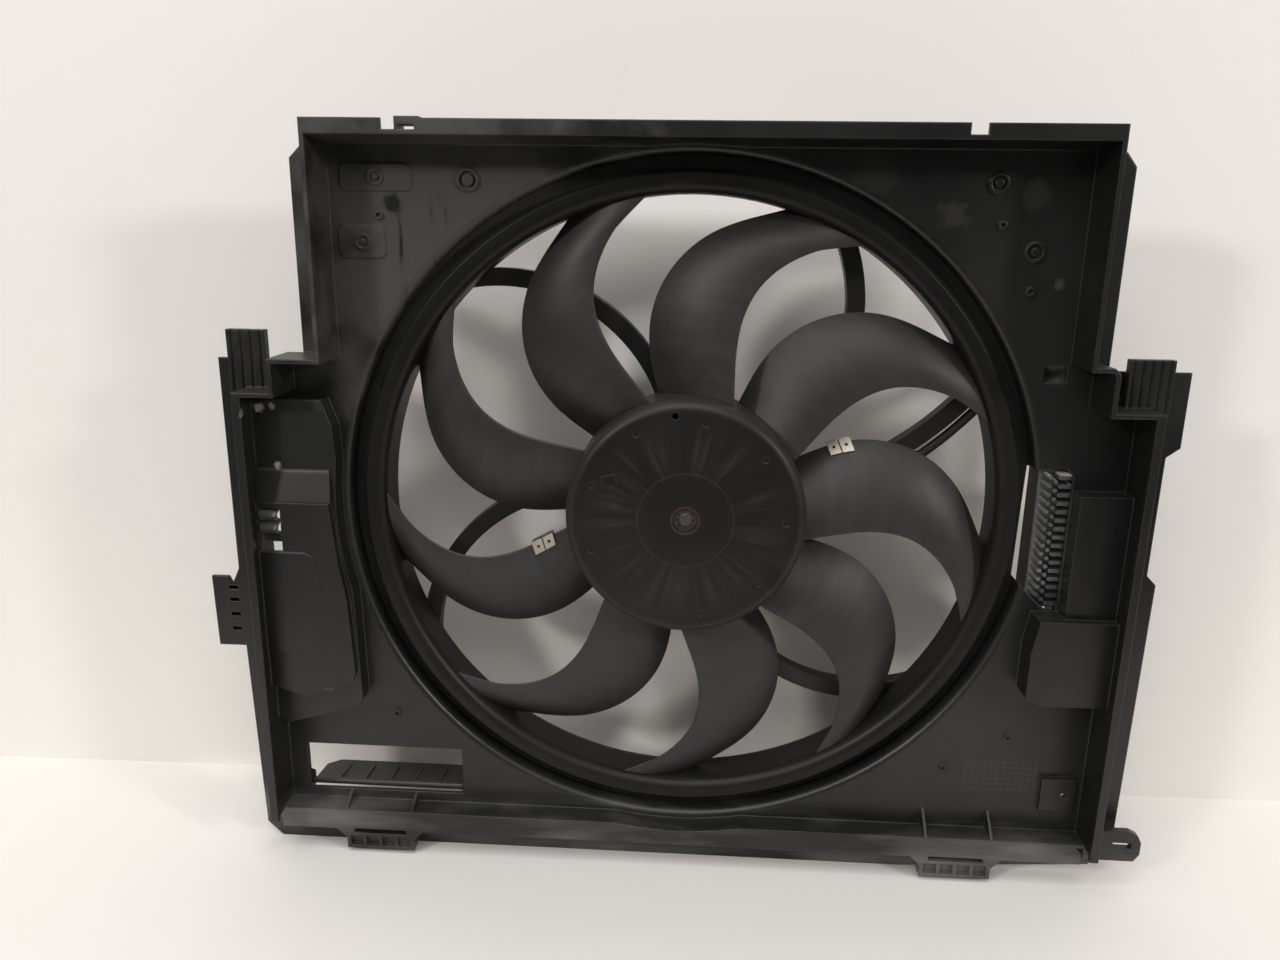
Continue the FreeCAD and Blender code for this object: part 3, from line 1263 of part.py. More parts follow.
# Controller
def make_controller():
    sink = new_body("heat_sink")
    sink_rear = size.sink_front + size.sink_wall
    front_pad(sink, "base", size.sink_front, sink_rear, polygon_drawer(box_corners(
        size.sink_left, size.sink_right, -size.sink_foot, size.sink_top)))
    pins = []
    across = size.sink_left + size.pin_radius + 0.6
    rows = int(float(size.sink_top + size.sink_foot) / float(size.pin_pitch))
    for column in range(2):
        for row in range(rows):
            height = size.sink_top - size.pin_pitch * (row + 0.6 + 0.5 * (column % 2))
            if float(height) < 2 + float(size.pin_radius) - float(size.sink_foot):
                continue
            pins.append((across + size.pin_pitch * 0.62 * column, height, size.pin_radius))
    front_pad(sink, "pins", size.pin_front, size.sink_front, circles_drawer(pins))
    fin_left = across + size.pin_pitch
    fins = []
    for row in range(rows):
        height = size.sink_top - size.pin_pitch * (row + 0.6)
        fins.append(box_corners(fin_left, fin_left + size.fin_length, height - size.pin_radius,
                                height + size.pin_radius))

    front_pad(sink, "fins", size.pin_front, size.sink_front, polygons_drawer(fins))
    posts = controller_posts()
    front_pocket(sink, "screw_holes", size.sink_front, sink_rear,
                 circles_drawer([(x, z, size.tap_radius + 0.3) for x, z in posts]))

    cover = new_body("controller_cover")
    cover_rear = sink_rear + size.cover_depth
    front_pad(cover, "block", sink_rear, cover_rear, polygon_drawer(box_corners(
        size.sink_left, size.sink_right, -size.sink_foot, size.sink_top)))
    round_edges(cover, "rear_round", 3, lambda edge: abs(edge.BoundBox.YMin - float(cover_rear)) < 0.01)
    front_pocket(cover, "hollow", sink_rear, cover_rear - size.cover_wall, polygon_drawer(box_corners(
        size.sink_left + size.cover_wall, size.sink_right - size.cover_wall,
        size.cover_wall - size.sink_foot, size.sink_top - size.cover_wall)))
    front_pad(cover, "towers", sink_rear, cover_rear - size.cover_wall,
              circles_drawer([(x, z, size.post_radius) for x, z in posts]))
    front_pocket(cover, "tower_holes", sink_rear, cover_rear,
                 circles_drawer([(x, z, size.tap_radius + 0.3) for x, z in posts]))
    level_pocket(cover, "cable_hole", "XY_Plane", size.sink_top - size.cover_wall - 1, size.cover_wall + 2,
                 [(CABLE_ROUTE[-1][0], size.cable_level, size.cable_radius)])

    board = new_body("circuit_board")
    board_front = sink_rear + 5
    front_pad(board, "board", board_front, board_front + size.board_wall, polygon_drawer(box_corners(
        size.sink_left + size.cover_wall + 1, size.sink_right - size.cover_wall - 1,
        size.cover_wall + 1 - size.sink_foot, size.sink_top - size.cover_wall - 1)))
    front_pocket(board, "tower_clearance", board_front, board_front + size.board_wall,
                 circles_drawer([(x, z, size.post_radius + 0.5) for x, z in posts]))
    front_pad(board, "chips", sink_rear + 0.2, board_front, polygon_drawer(box_corners(276, 300, -40, -10)))
    front_pad(board, "coil", board_front + size.board_wall, board_front + size.board_wall + 9,
              circles_drawer([(290, 8, 8), (308, -30, 6), (308, -14, 6)]))

    screws = []
    for x, z in posts:
        spot = FreeCAD.Vector(float(x), float(size.sink_front) - 10, float(z))
        along = FreeCAD.Vector(0, 1, 0)
        shank = Part.makeCylinder(float(size.tap_radius), float(cover_rear) - float(size.sink_front) + 10,
                                  spot, along)
        head = Part.makeCylinder(float(size.tap_radius) * 2, 3,
                                 FreeCAD.Vector(float(x), float(cover_rear), float(z)), along)
        screws.append(shank.fuse(head))
    plain_part("controller_screws", Part.makeCompound(screws))

    socket = new_body("plug_socket")
    low = -size.sink_foot
    middle = size.sink_left + 40
    level = sink_rear + 12
    sketch = new_sketch(socket, "shell_outline", "XY_Plane", low - 18)
    draw_polygon(sketch, box_corners(middle - 16, middle + 16, level - 8, level + 8))
    extrude(socket, "shell", sketch, 18, False)
    doc.recompute()
    sketch = new_sketch(socket, "cavity_outline", "XY_Plane", low - 18)
    draw_polygon(sketch, box_corners(middle - 14, middle + 14, level - 6, level + 6))
    cavity = socket.newObject("PartDesign::Pocket", "cavity")
    cavity.Profile = sketch
    cavity.Reversed = True
    cavity.Length = 15
    blades = []
    for number in range(4):
        across = float(middle) - 10.5 + 7 * number
        blades.append(Part.makeBox(3, 0.8, 11, FreeCAD.Vector(across - 1.5, float(level) - 0.4, float(low) - 14)))
    plain_part("plug_contacts", Part.makeCompound(blades))


make_controller()


# Cable, its ties and grommet
def route_wire(points):
    """Straight runs joined by tangent arcs; each arc is as large as its two runs allow."""
    edges = []
    here = points[0]
    for k in range(1, len(points) - 1):
        before = points[k - 1] - points[k]
        after = points[k + 1] - points[k]
        shorter = min(before.Length, after.Length)
        turn = math.pi - before.getAngle(after)
        radius = 0.45 * shorter / math.tan(turn / 2)
        print("cable arc %d radius %.1f" % (k, radius))
        cut = 0.45 * shorter
        inward = points[k] + before.normalize() * cut
        outward = points[k] + after.normalize() * cut
        bisector = (before + after).normalize()
        middle = points[k] + bisector * (radius / math.cos(turn / 2) - radius)
        if (inward - here).Length > 0.001:
            edges.append(Part.LineSegment(here, inward).toShape())
        edges.append(Part.Arc(inward, middle, outward).toShape())
        here = outward
    edges.append(Part.LineSegment(here, points[-1]).toShape())
    return Part.Wire(edges)


def make_cable():
    level = float(size.cable_level)
    points = [FreeCAD.Vector(x, level, z) for x, z in CABLE_ROUTE]
    path = route_wire(points)
    radius = float(size.cable_radius)
    section = Part.Wire([Part.makeCircle(radius, points[0], points[1] - points[0])])
    cable = path.makePipeShell([section], True, False)
    print("cable volume %.1f against %.1f" % (cable.Volume, math.pi * radius ** 2 * path.Length))
    plain_part("motor_cable", cable)


def make_grommet():
    """A rubber sleeve where the cable enters the motor."""
    along = FreeCAD.Vector(1, 0, 0)
    foot = FreeCAD.Vector(GROMMET_START, float(size.cable_level), CABLE_ROUTE[0][1])
    reach = GROMMET_END - GROMMET_START
    sleeve = Part.makeCylinder(float(size.cable_radius + size.grommet_wall), reach, foot, along)
    start = FreeCAD.Vector(CABLE_ROUTE[0][0], float(size.cable_level), CABLE_ROUTE[0][1])
    heading = FreeCAD.Vector(CABLE_ROUTE[1][0] - CABLE_ROUTE[0][0], 0, CABLE_ROUTE[1][1] - CABLE_ROUTE[0][1])
    core = Part.makeCylinder(float(size.cable_radius), 30, start - heading.normalize() * 3, heading)
    plain_part("cable_grommet", sleeve.cut(core))


def make_ties():
    """Flat straps round the cable at three places along its way."""
    level = float(size.cable_level)
    inner = float(size.cable_radius + size.tie_gap)
    outer = inner + float(size.tie_wall)
    solids = []
    for number in (1, 2, 5):
        start = FreeCAD.Vector(CABLE_ROUTE[number][0], level, CABLE_ROUTE[number][1])
        end = FreeCAD.Vector(CABLE_ROUTE[number + 1][0], level, CABLE_ROUTE[number + 1][1])
        along = (end - start).normalize()
        middle = (start + end) * 0.5
        foot = middle - along * (float(size.tie_width) / 2)
        band = Part.makeCylinder(outer, float(size.tie_width), foot, along)
        band = band.cut(Part.makeCylinder(inner, float(size.tie_width), foot, along))
        solids += band.Solids
    plain_part("cable_ties", Part.makeCompound(solids))


def make_spring_clip():
    """An S-shaped snap finger whose foot sits on the upper edge of the small window at the left."""
    clip = new_body("spring_clip")
    front = size.plate_front - 22
    root = front + size.plate_wall + 0.2
    side_pad(clip, "finger", -310.5, -297.6, [
        (root, 0.8), (root, -1.4), (front - 1, -3), (front - 2.5, -6), (front - 1, -9), (front + 2.4, -11),
        (front - 1, -13), (front - 2.5, -16), (front - 1, -19), (front + 5.6, -22), (front + 5.6, -27.5),
        (front + 8, -27.5), (front + 8, -20.4), (front + 1.4, -17.6), (front + 0.4, -16), (front + 1.4, -14.4),
        (front + 5.6, -12.2), (front + 5.6, -9.8), (front + 1.4, -7.6), (front + 0.4, -6),
        (front + 1.4, -4.4), (front + 7, -2.4), (front + 7, 0.8)])
    round_edges(clip, "bends", 0.8, lambda edge: edge.BoundBox.XLength > 12 and -24 < edge.BoundBox.ZMin < -2)


make_cable()
make_grommet()
make_ties()
make_spring_clip()


# Check and write
doc.recompute()
for thing in doc.Objects:
    if "Invalid" in thing.State or "Error" in thing.State:
        raise RuntimeError("%s is in state %s" % (thing.Label, thing.State))
for part in parts:
    if part.Shape.isNull() or not part.Shape.isValid():
        raise RuntimeError(part.Label + " has no valid shape")
os.makedirs("parts", exist_ok=True)
for part in parts:
    part.Shape.exportStep("parts/%s.step" % part.Label)
    print("%-20s solids %d volume %.0f" % (part.Label, len(part.Shape.Solids), part.Shape.Volume))
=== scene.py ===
import math

import bpy
import numpy as np
from mathutils import Matrix, Vector


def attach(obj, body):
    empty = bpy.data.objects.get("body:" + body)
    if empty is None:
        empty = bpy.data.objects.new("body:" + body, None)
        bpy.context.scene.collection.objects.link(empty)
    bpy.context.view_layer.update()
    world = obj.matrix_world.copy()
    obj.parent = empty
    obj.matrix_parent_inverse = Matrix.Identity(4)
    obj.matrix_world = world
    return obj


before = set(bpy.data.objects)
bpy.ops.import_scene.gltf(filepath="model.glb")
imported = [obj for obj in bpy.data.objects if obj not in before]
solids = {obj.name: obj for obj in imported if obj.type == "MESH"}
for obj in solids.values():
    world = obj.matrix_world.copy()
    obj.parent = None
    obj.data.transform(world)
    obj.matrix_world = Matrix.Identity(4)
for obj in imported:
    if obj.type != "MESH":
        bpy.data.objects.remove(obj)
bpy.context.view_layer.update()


# Shroud and motor carrier
# The large moulding: a shallow tray of black glass-filled plastic with the fan's opening, and the five
# arms behind it. It is glossy where it is clean; a dry film lies at the upper left, crossed by drips,
# with white scuffs on the left pod, faint smears elsewhere and paler worn rims.
def put(tree, kind, values=None, links=None, **settings):
    """Adds one shader node, with its fixed values and its links."""
    made = tree.nodes.new(kind)
    for name, value in settings.items():
        setattr(made, name, value)
    for name, value in (values or {}).items():
        made.inputs[name].default_value = value
    for name, source in (links or {}).items():
        tree.links.new(source, made.inputs[name])
    return made


def reckon(tree, operation, first, second=0.0, third=0.0):
    """One step of arithmetic on numbers or sockets."""
    step = tree.nodes.new("ShaderNodeMath")
    step.operation = operation
    for socket, value in zip(step.inputs, (first, second, third)):
        if isinstance(value, (int, float)):
            socket.default_value = value
        else:
            tree.links.new(value, socket)
    return step.outputs[0]


def limit(tree, value):
    """Keeps a mask between nought and one."""
    return put(tree, "ShaderNodeClamp", links={"Value": value}).outputs[0]


def noise(tree, scale, detail=4.0, place=None, stretch=None):
    """Noise on the object's own coordinates, squeezed or stretched along its axes."""
    if place is None:
        place = put(tree, "ShaderNodeTexCoord").outputs["Object"]
    if stretch:
        place = put(tree, "ShaderNodeVectorMath", links={0: place}, operation="MULTIPLY").outputs[0]
        place.node.inputs[1].default_value = stretch
    made = put(tree, "ShaderNodeTexNoise", {"Scale": scale, "Detail": detail}, {"Vector": place})
    return made.outputs["Fac"]


def new_group(name, inputs, outputs):
    """An empty shader group with its sockets; inputs carry a default value."""
    group = bpy.data.node_groups.new(name, "ShaderNodeTree")
    for label, value in inputs:
        socket = group.interface.new_socket(label, in_out="INPUT", socket_type="NodeSocketFloat")
        socket.default_value = value
    for label, kind in outputs:
        group.interface.new_socket(label, in_out="OUTPUT", socket_type=kind)
    return group, group.nodes.new("NodeGroupInput"), group.nodes.new("NodeGroupOutput")


def make_spot_group():
    """Mask of one stain seen from the front: full at its middle, ragged and fading towards its reach."""
    group, given, result = new_group(
        "soft_spot", [("X", 0.0), ("Z", 0.0), ("Reach", 0.03), ("Ragged", 0.5), ("Scale", 60.0)],
        [("Mask", "NodeSocketFloat")])
    place = put(group, "ShaderNodeTexCoord")
    parts = put(group, "ShaderNodeSeparateXYZ", links={0: place.outputs["Object"]})
    across = reckon(group, "SUBTRACT", parts.outputs["X"], given.outputs["X"])
    along = reckon(group, "SUBTRACT", parts.outputs["Z"], given.outputs["Z"])
    square = reckon(group, "MULTIPLY_ADD", across, across, reckon(group, "MULTIPLY", along, along))
    share = reckon(group, "DIVIDE", reckon(group, "SQRT", square), given.outputs["Reach"])
    cloud = put(group, "ShaderNodeTexNoise", {"Detail": 6.0, "Roughness": 0.6},
                {"Vector": place.outputs["Object"], "Scale": given.outputs["Scale"]})
    break_up = reckon(group, "MULTIPLY", reckon(group, "SUBTRACT", cloud.outputs["Fac"], 0.5),
                      given.outputs["Ragged"])
    depth = reckon(group, "MULTIPLY_ADD", break_up, 6.0, reckon(group, "SUBTRACT", 1.0, share))
    group.links.new(limit(group, reckon(group, "MULTIPLY", depth, 2.0)), result.inputs["Mask"])
    return group


def make_dust_group():
    """Mask of settled dust: the part of the surface that faces up, broken by two sizes of noise."""
    group, given, result = new_group("settled_dust", [("Amount", 0.5), ("Scale", 12.0)],
                                     [("Mask", "NodeSocketFloat")])
    place = put(group, "ShaderNodeTexCoord")
    facing = put(group, "ShaderNodeSeparateXYZ", links={0: place.outputs["Normal"]})
    cloud = put(group, "ShaderNodeTexNoise", {"Detail": 8.0, "Roughness": 0.62},
                {"Vector": place.outputs["Object"], "Scale": given.outputs["Scale"]})
    speck = put(group, "ShaderNodeTexNoise", {"Scale": 900.0, "Detail": 3.0},
                {"Vector": place.outputs["Object"]})
    up = reckon(group, "MULTIPLY_ADD", facing.outputs["Z"], 0.55, 0.30)
    patch = reckon(group, "MULTIPLY_ADD", cloud.outputs["Fac"], 1.6, -0.62)
    fine = reckon(group, "MULTIPLY_ADD", speck.outputs["Fac"], 1.2, 0.35)
    mask = reckon(group, "MULTIPLY", reckon(group, "ADD", up, patch), fine)
    mask = limit(group, reckon(group, "MULTIPLY", mask, given.outputs["Amount"]))
    group.links.new(mask, result.inputs["Mask"])
    return group


def make_edge_group():
    """Rounded look of sharp edges, and a mask of where they are worn."""
    group, given, result = new_group("worn_edge", [("Width", 0.0012)],
                                     [("Mask", "NodeSocketFloat"), ("Normal", "NodeSocketVector")])
    round_edge = put(group, "ShaderNodeBevel", links={"Radius": given.outputs["Width"]}, samples=6)
    face = put(group, "ShaderNodeNewGeometry")
    turn = put(group, "ShaderNodeVectorMath", operation="DOT_PRODUCT",
               links={0: round_edge.outputs[0], 1: face.outputs["Normal"]})
    place = put(group, "ShaderNodeTexCoord")
    cloud = put(group, "ShaderNodeTexNoise", {"Scale": 60.0, "Detail": 6.0},
                {"Vector": place.outputs["Object"]})
    bend = reckon(group, "SUBTRACT", 1.0, turn.outputs["Value"])
    mask = reckon(group, "MULTIPLY", reckon(group, "MULTIPLY", bend, 5.0),
                  reckon(group, "MULTIPLY_ADD", cloud.outputs["Fac"], 2.4, -0.7))
    group.links.new(limit(group, mask), result.inputs["Mask"])
    group.links.new(round_edge.outputs[0], result.inputs["Normal"])
    return group


def make_grain_group():
    """Fine moulded grain as a bump, with a slow waviness under it."""
    group, given, result = new_group("moulded_grain", [("Scale", 1800.0), ("Depth", 0.15)],
                                     [("Normal", "NodeSocketVector")])
    base = group.interface.new_socket("Base", in_out="INPUT", socket_type="NodeSocketVector")
    base.hide_value = True
    place = put(group, "ShaderNodeTexCoord")
    fine = put(group, "ShaderNodeTexNoise", {"Detail": 2.0},
               {"Vector": place.outputs["Object"], "Scale": given.outputs["Scale"]})
    slow = put(group, "ShaderNodeTexNoise", {"Scale": 22.0, "Detail": 2.0},
               {"Vector": place.outputs["Object"]})
    height = reckon(group, "MULTIPLY_ADD", slow.outputs["Fac"], 3.0, fine.outputs["Fac"])
    bump = put(group, "ShaderNodeBump", {"Distance": 0.0002},
               {"Height": height, "Strength": given.outputs["Depth"], "Normal": given.outputs["Base"]})
    group.links.new(bump.outputs[0], result.inputs["Normal"])
    return group


soft_spot = make_spot_group()
settled_dust = make_dust_group()
worn_edge = make_edge_group()
moulded_grain = make_grain_group()


def new_finish(name):
    """An empty material with its shader; gives the material, its tree and the shader."""
    material = bpy.data.materials.new(name)
    material.use_nodes = True
    tree = material.node_tree
    return material, tree, tree.nodes["Principled BSDF"]


def use(tree, group, values=None, links=None):
    """One of the shared groups inside a material."""
    made = tree.nodes.new("ShaderNodeGroup")
    made.node_tree = group
    for name, value in (values or {}).items():
        made.inputs[name].default_value = value
    for name, source in (links or {}).items():
        tree.links.new(source, made.inputs[name])
    return made


def spot(tree, across, along, reach, ragged=0.5, scale=60.0):
    """The mask of one stain, placed as seen from the front."""
    values = {"X": across, "Z": along, "Reach": reach, "Ragged": ragged, "Scale": scale}
    return use(tree, soft_spot, values).outputs["Mask"]


def blend_colour(tree, mask, under, over):
    """Lays one colour over another by a mask; either may be a socket."""
    mix = tree.nodes.new("ShaderNodeMix")
    mix.data_type = "RGBA"
    tree.links.new(mask, mix.inputs[0])
    for socket, value in ((mix.inputs[6], under), (mix.inputs[7], over)):
        if isinstance(value, tuple):
            socket.default_value = (*value, 1.0)
        else:
            tree.links.new(value, socket)
    return mix.outputs[2]


def dress(name, material):
    """Gives a solid of the frame its finish."""
    mesh = solids[name].data
    mesh.materials.clear()
    mesh.materials.append(material)


def plastic(name, colour, dust_colour, dust, rough, shine, width=0.0012, wear=0.35, sheen=0.5):
    """Moulded plastic: dark base, dust in patches, paler worn edges, fine grain.

    Gives the material, its tree, the shader, and the sockets of colour and roughness so far."""
    material, tree, shader = new_finish(name)
    edge = use(tree, worn_edge, {"Width": width})
    powder = use(tree, settled_dust, {"Amount": dust})
    grain = use(tree, moulded_grain, links={"Base": edge.outputs["Normal"]})
    cloud = noise(tree, 7.0, 9.0)
    lighter = tuple(min(1.0, channel * 1.7) for channel in colour)
    base = blend_colour(tree, cloud, colour, lighter)
    base = blend_colour(tree, reckon(tree, "MULTIPLY", edge.outputs["Mask"], wear), base, dust_colour)
    base = blend_colour(tree, powder.outputs["Mask"], base, dust_colour)
    gloss = reckon(tree, "MULTIPLY_ADD", cloud, shine, rough)
    gloss = reckon(tree, "MULTIPLY_ADD", powder.outputs["Mask"], 0.4, gloss)
    tree.links.new(base, shader.inputs["Base Color"])
    tree.links.new(gloss, shader.inputs["Roughness"])
    tree.links.new(grain.outputs["Normal"], shader.inputs["Normal"])
    shader.inputs["Specular IOR Level"].default_value = sheen
    return material, tree, shader, base, gloss


def make_shroud_finish():
    """The tray's black with its film, drips, scuffs, smears and a faint table of lines, lower right."""
    material, tree, shader, base, gloss = plastic(
        "shroud_black", (0.0034, 0.0036, 0.0040), (0.10, 0.098, 0.092), 0.08, 0.26, 0.16, 0.0016, 0.3)
    place = put(tree, "ShaderNodeTexCoord").outputs["Object"]
    parts = put(tree, "ShaderNodeSeparateXYZ", links={0: place})
    # The film at the upper left is thin and even, cut by drips that ran straight down.
    film = reckon(tree, "MULTIPLY", spot(tree, -0.165, 0.185, 0.15, 0.35, 22.0), 0.75)
    streak = noise(tree, 1.0, 5.0, place, (120.0, 10.0, 16.0))
    drips = limit(tree, reckon(tree, "MULTIPLY_ADD", streak, 9.0, -5.1))
    drips = reckon(tree, "MULTIPLY", drips, spot(tree, -0.208, 0.185, 0.055, 0.2, 40.0))
    blot = spot(tree, -0.2065, 0.213, 0.0075, 0.35, 90.0)
    washed = reckon(tree, "MAXIMUM", drips, blot)
    film = reckon(tree, "MULTIPLY", film, reckon(tree, "SUBTRACT", 1.0, washed))
    # Weak smears hang all over the tray.
    cloud = noise(tree, 9.0, 7.0, place, (1.0, 1.0, 0.45))
    haze = limit(tree, reckon(tree, "MULTIPLY_ADD", cloud, 2.2, -1.0))
    film = limit(tree, reckon(tree, "ADD", film, reckon(tree, "MULTIPLY", haze, 0.22)))
    base = blend_colour(tree, film, base, (0.062, 0.062, 0.060))
    # Whitish scuffs and smudges, each with its own place, reach and strength.
    marks = ((-0.3072, 0.0727, 0.0040, 0.40, 420.0, 0.8), (-0.2975, 0.0740, 0.003, 0.4, 460.0, 0.6),
             (-0.2969, 0.0305, 0.0032, 0.42, 380.0, 0.75), (0.2249, 0.225, 0.011, 0.35, 90.0, 0.05),
             (0.1741, 0.2122, 0.013, 0.35, 110.0, 0.045), (0.247, 0.167, 0.005, 0.3, 120.0, 0.09),
             (-0.27, -0.146, 0.003, 0.4, 300.0, 0.3), (0.12, 0.24, 0.016, 0.35, 90.0, 0.03))
    scuff = None
    for across, along, reach, ragged, scale, strength in marks:
        mask = reckon(tree, "MULTIPLY", spot(tree, across, along, reach, ragged, scale), strength)
        scuff = mask if scuff is None else reckon(tree, "MAXIMUM", scuff, mask)
    base = blend_colour(tree, scuff, base, (0.36, 0.36, 0.35))
    # A table of fine pale lines, about 12 columns by 6 rows, between four limits.
    lines_per_metre, line_share = 208.0, 0.16
    column = reckon(tree, "FRACT", reckon(tree, "MULTIPLY_ADD", parts.outputs["X"], lines_per_metre, 0.0))
    row = reckon(tree, "FRACT", reckon(tree, "MULTIPLY_ADD", parts.outputs["Z"], lines_per_metre, 0.3))
    upright = reckon(tree, "LESS_THAN", column, line_share)
    level = reckon(tree, "LESS_THAN", row, line_share)
    lines = reckon(tree, "MAXIMUM", upright, level)
    for socket, low, high in ((parts.outputs["X"], 0.2195, 0.2765), (parts.outputs["Z"], -0.219, -0.190)):
        lines = reckon(tree, "MULTIPLY", lines, reckon(tree, "GREATER_THAN", socket, low))
        lines = reckon(tree, "MULTIPLY", lines, reckon(tree, "LESS_THAN", socket, high))
    base = blend_colour(tree, reckon(tree, "MULTIPLY", lines, 0.6), base, (0.032, 0.032, 0.031))
    # The lower rail is painted paler grey in patches along its front: partly dust, partly painted sheen
    # standing in for the lamps' reflection on it.
    low = limit(tree, reckon(tree, "MULTIPLY_ADD", parts.outputs["Z"], -90.0, -21.7))
    cloud = noise(tree, 14.0, 8.0, place, (0.5, 1.0, 2.5))
    rail_dust_and_sheen = limit(tree, reckon(tree, "MULTIPLY_ADD", cloud, 3.0, -1.25))
    rail_dust_and_sheen = reckon(tree, "MULTIPLY", reckon(tree, "MULTIPLY", rail_dust_and_sheen, low), 0.95)
    # paler grey on the rail: dust together with painted sheen
    base = blend_colour(tree, rail_dust_and_sheen, base, (0.17, 0.17, 0.166))
    tree.links.new(base, shader.inputs["Base Color"])
    rough = reckon(tree, "MULTIPLY_ADD", film, 0.25, gloss)
    tree.links.new(reckon(tree, "MULTIPLY_ADD", scuff, 0.4, rough), shader.inputs["Roughness"])
    return material


shroud_black = make_shroud_finish()
dress("shroud", shroud_black)
carrier_black = plastic("carrier_black", (0.006, 0.006, 0.0062), (0.10, 0.095, 0.085), 0.22, 0.34, 0.2)[0]
dress("motor_carrier", carrier_black)


def add_moulding(name, front, back):
    """A piece of the shroud's plastic between two skins on one grid, closed round its rim.

    Rows run upwards and columns to the right, as seen from the front; the first skin is the front one."""
    rows, columns = front.shape[:2]
    index = np.arange(rows * columns).reshape(rows, columns)
    a, b = index[:-1, :-1].ravel(), index[:-1, 1:].ravel()
    c, d = index[1:, 1:].ravel(), index[1:, :-1].ravel()
    behind = rows * columns
    rim = np.concatenate([index[0, :], index[1:, -1], index[-1, -2::-1], index[-2:0:-1, 0]])
    after = np.roll(rim, -1)
    side = np.stack([rim + behind, after + behind, after, rim], axis=1)
    faces = np.concatenate([np.stack([a, b, c, d], axis=1), np.stack([a, d, c, b], axis=1) + behind, side])
    points = np.concatenate([front.reshape(-1, 3), back.reshape(-1, 3)])
    mesh = bpy.data.meshes.new(name)
    mesh.from_pydata(points.tolist(), [], faces.tolist())
    mesh.materials.append(shroud_black)
    piece = bpy.data.objects.new(name, mesh)
    bpy.context.scene.collection.objects.link(piece)
    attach(piece, "frame")


def make_slope():
    """The slanted band where the left pod's upper half runs forward into its lower half.

    A flat sheet: with v from 1 at its top to 0 at its bottom, and u from 0 to 1 across, its depth and
    height change evenly with v and its right edge with v too; its back is flat."""
    up = np.linspace(0.0, 1.0, 7)[:, None]
    down = 1.0 - up
    over = np.linspace(0.0, 1.0, 15)[None, :]
    left, right, back_depth = -0.3128, -0.2590, 0.0229
    depth = 0.0228 - 0.0066 * down + over * 0.0
    height = 0.0285 - 0.0245 * down + over * 0.0
    across = left + (right + 0.0016 * down - left) * over
    front = np.stack([across, depth, height], axis=-1)
    back = front.copy()
    back[..., 1] = back_depth
    add_moulding("pod_slope", front, back)


make_slope()


def make_backing(name, left, right, low, high, rim_depth, deep):
    """A shallow dark cup behind an opening, so that no wall shows through it.

    Its depth is rim_depth + deep (1 - u^2)(1 - v^2), with u and v running from -1 to 1 across and up; a
    second skin behind and four edges close it."""
    u = np.linspace(-1.0, 1.0, 9)[None, :]
    v = np.linspace(-1.0, 1.0, 9)[:, None]
    across = left + (right - left) * (u + 1) / 2 + 0 * v
    height = low + (high - low) * (v + 1) / 2 + 0 * u
    depth = rim_depth + deep * (1 - u ** 2) * (1 - v ** 2)
    thickness = 0.0012
    front = np.stack([across, depth, height], axis=-1)
    add_moulding(name, front, front + np.array([0.0, thickness, 0.0]))


plate_rear, cup_depth = 0.0411, 0.003
make_backing("tab_backing", -0.352, -0.3415, -0.110, -0.068, plate_rear, cup_depth)
make_backing("window_backing", 0.243, 0.262, 0.099, 0.1145, plate_rear, cup_depth)


# Snap finger and air flap
# Two small loose mouldings at the left: a springy hook in its window, glossier than the shroud, and the
# flap that hangs on two pins behind the lower window.
dress("spring_clip", plastic("finger_black", (0.03, 0.03, 0.031), (0.3, 0.3, 0.29), 0.1, 0.12, 0.08)[0])
dress("air_flap", plastic("flap_black", (0.006, 0.006, 0.0065), (0.16, 0.155, 0.15), 0.1, 0.26, 0.16)[0])


# Fan wheel
# Hub, blades and ring are one moulding of a matt dark grey plastic, dull with road dust. The air left
# streaks along the blades and rays on the hub's face; splashes dried as patches of dark dots.
def polar(tree):
    """Radius and angle about the fan's axis, from the object's own coordinates."""
    parts = put(tree, "ShaderNodeSeparateXYZ", links={0: put(tree, "ShaderNodeTexCoord").outputs["Object"]})
    square = reckon(tree, "MULTIPLY", parts.outputs["X"], parts.outputs["X"])
    square = reckon(tree, "MULTIPLY_ADD", parts.outputs["Z"], parts.outputs["Z"], square)
    angle = reckon(tree, "ARCTAN2", parts.outputs["Z"], parts.outputs["X"])
    return reckon(tree, "SQRT", square), angle, parts


def band(tree, value, middle, half):
    """One on a narrow band of values about a middle, falling off evenly to nought at its borders."""
    away = reckon(tree, "ABSOLUTE", reckon(tree, "SUBTRACT", value, middle))
    return limit(tree, reckon(tree, "MULTIPLY_ADD", away, -1.0 / half, 1.0))


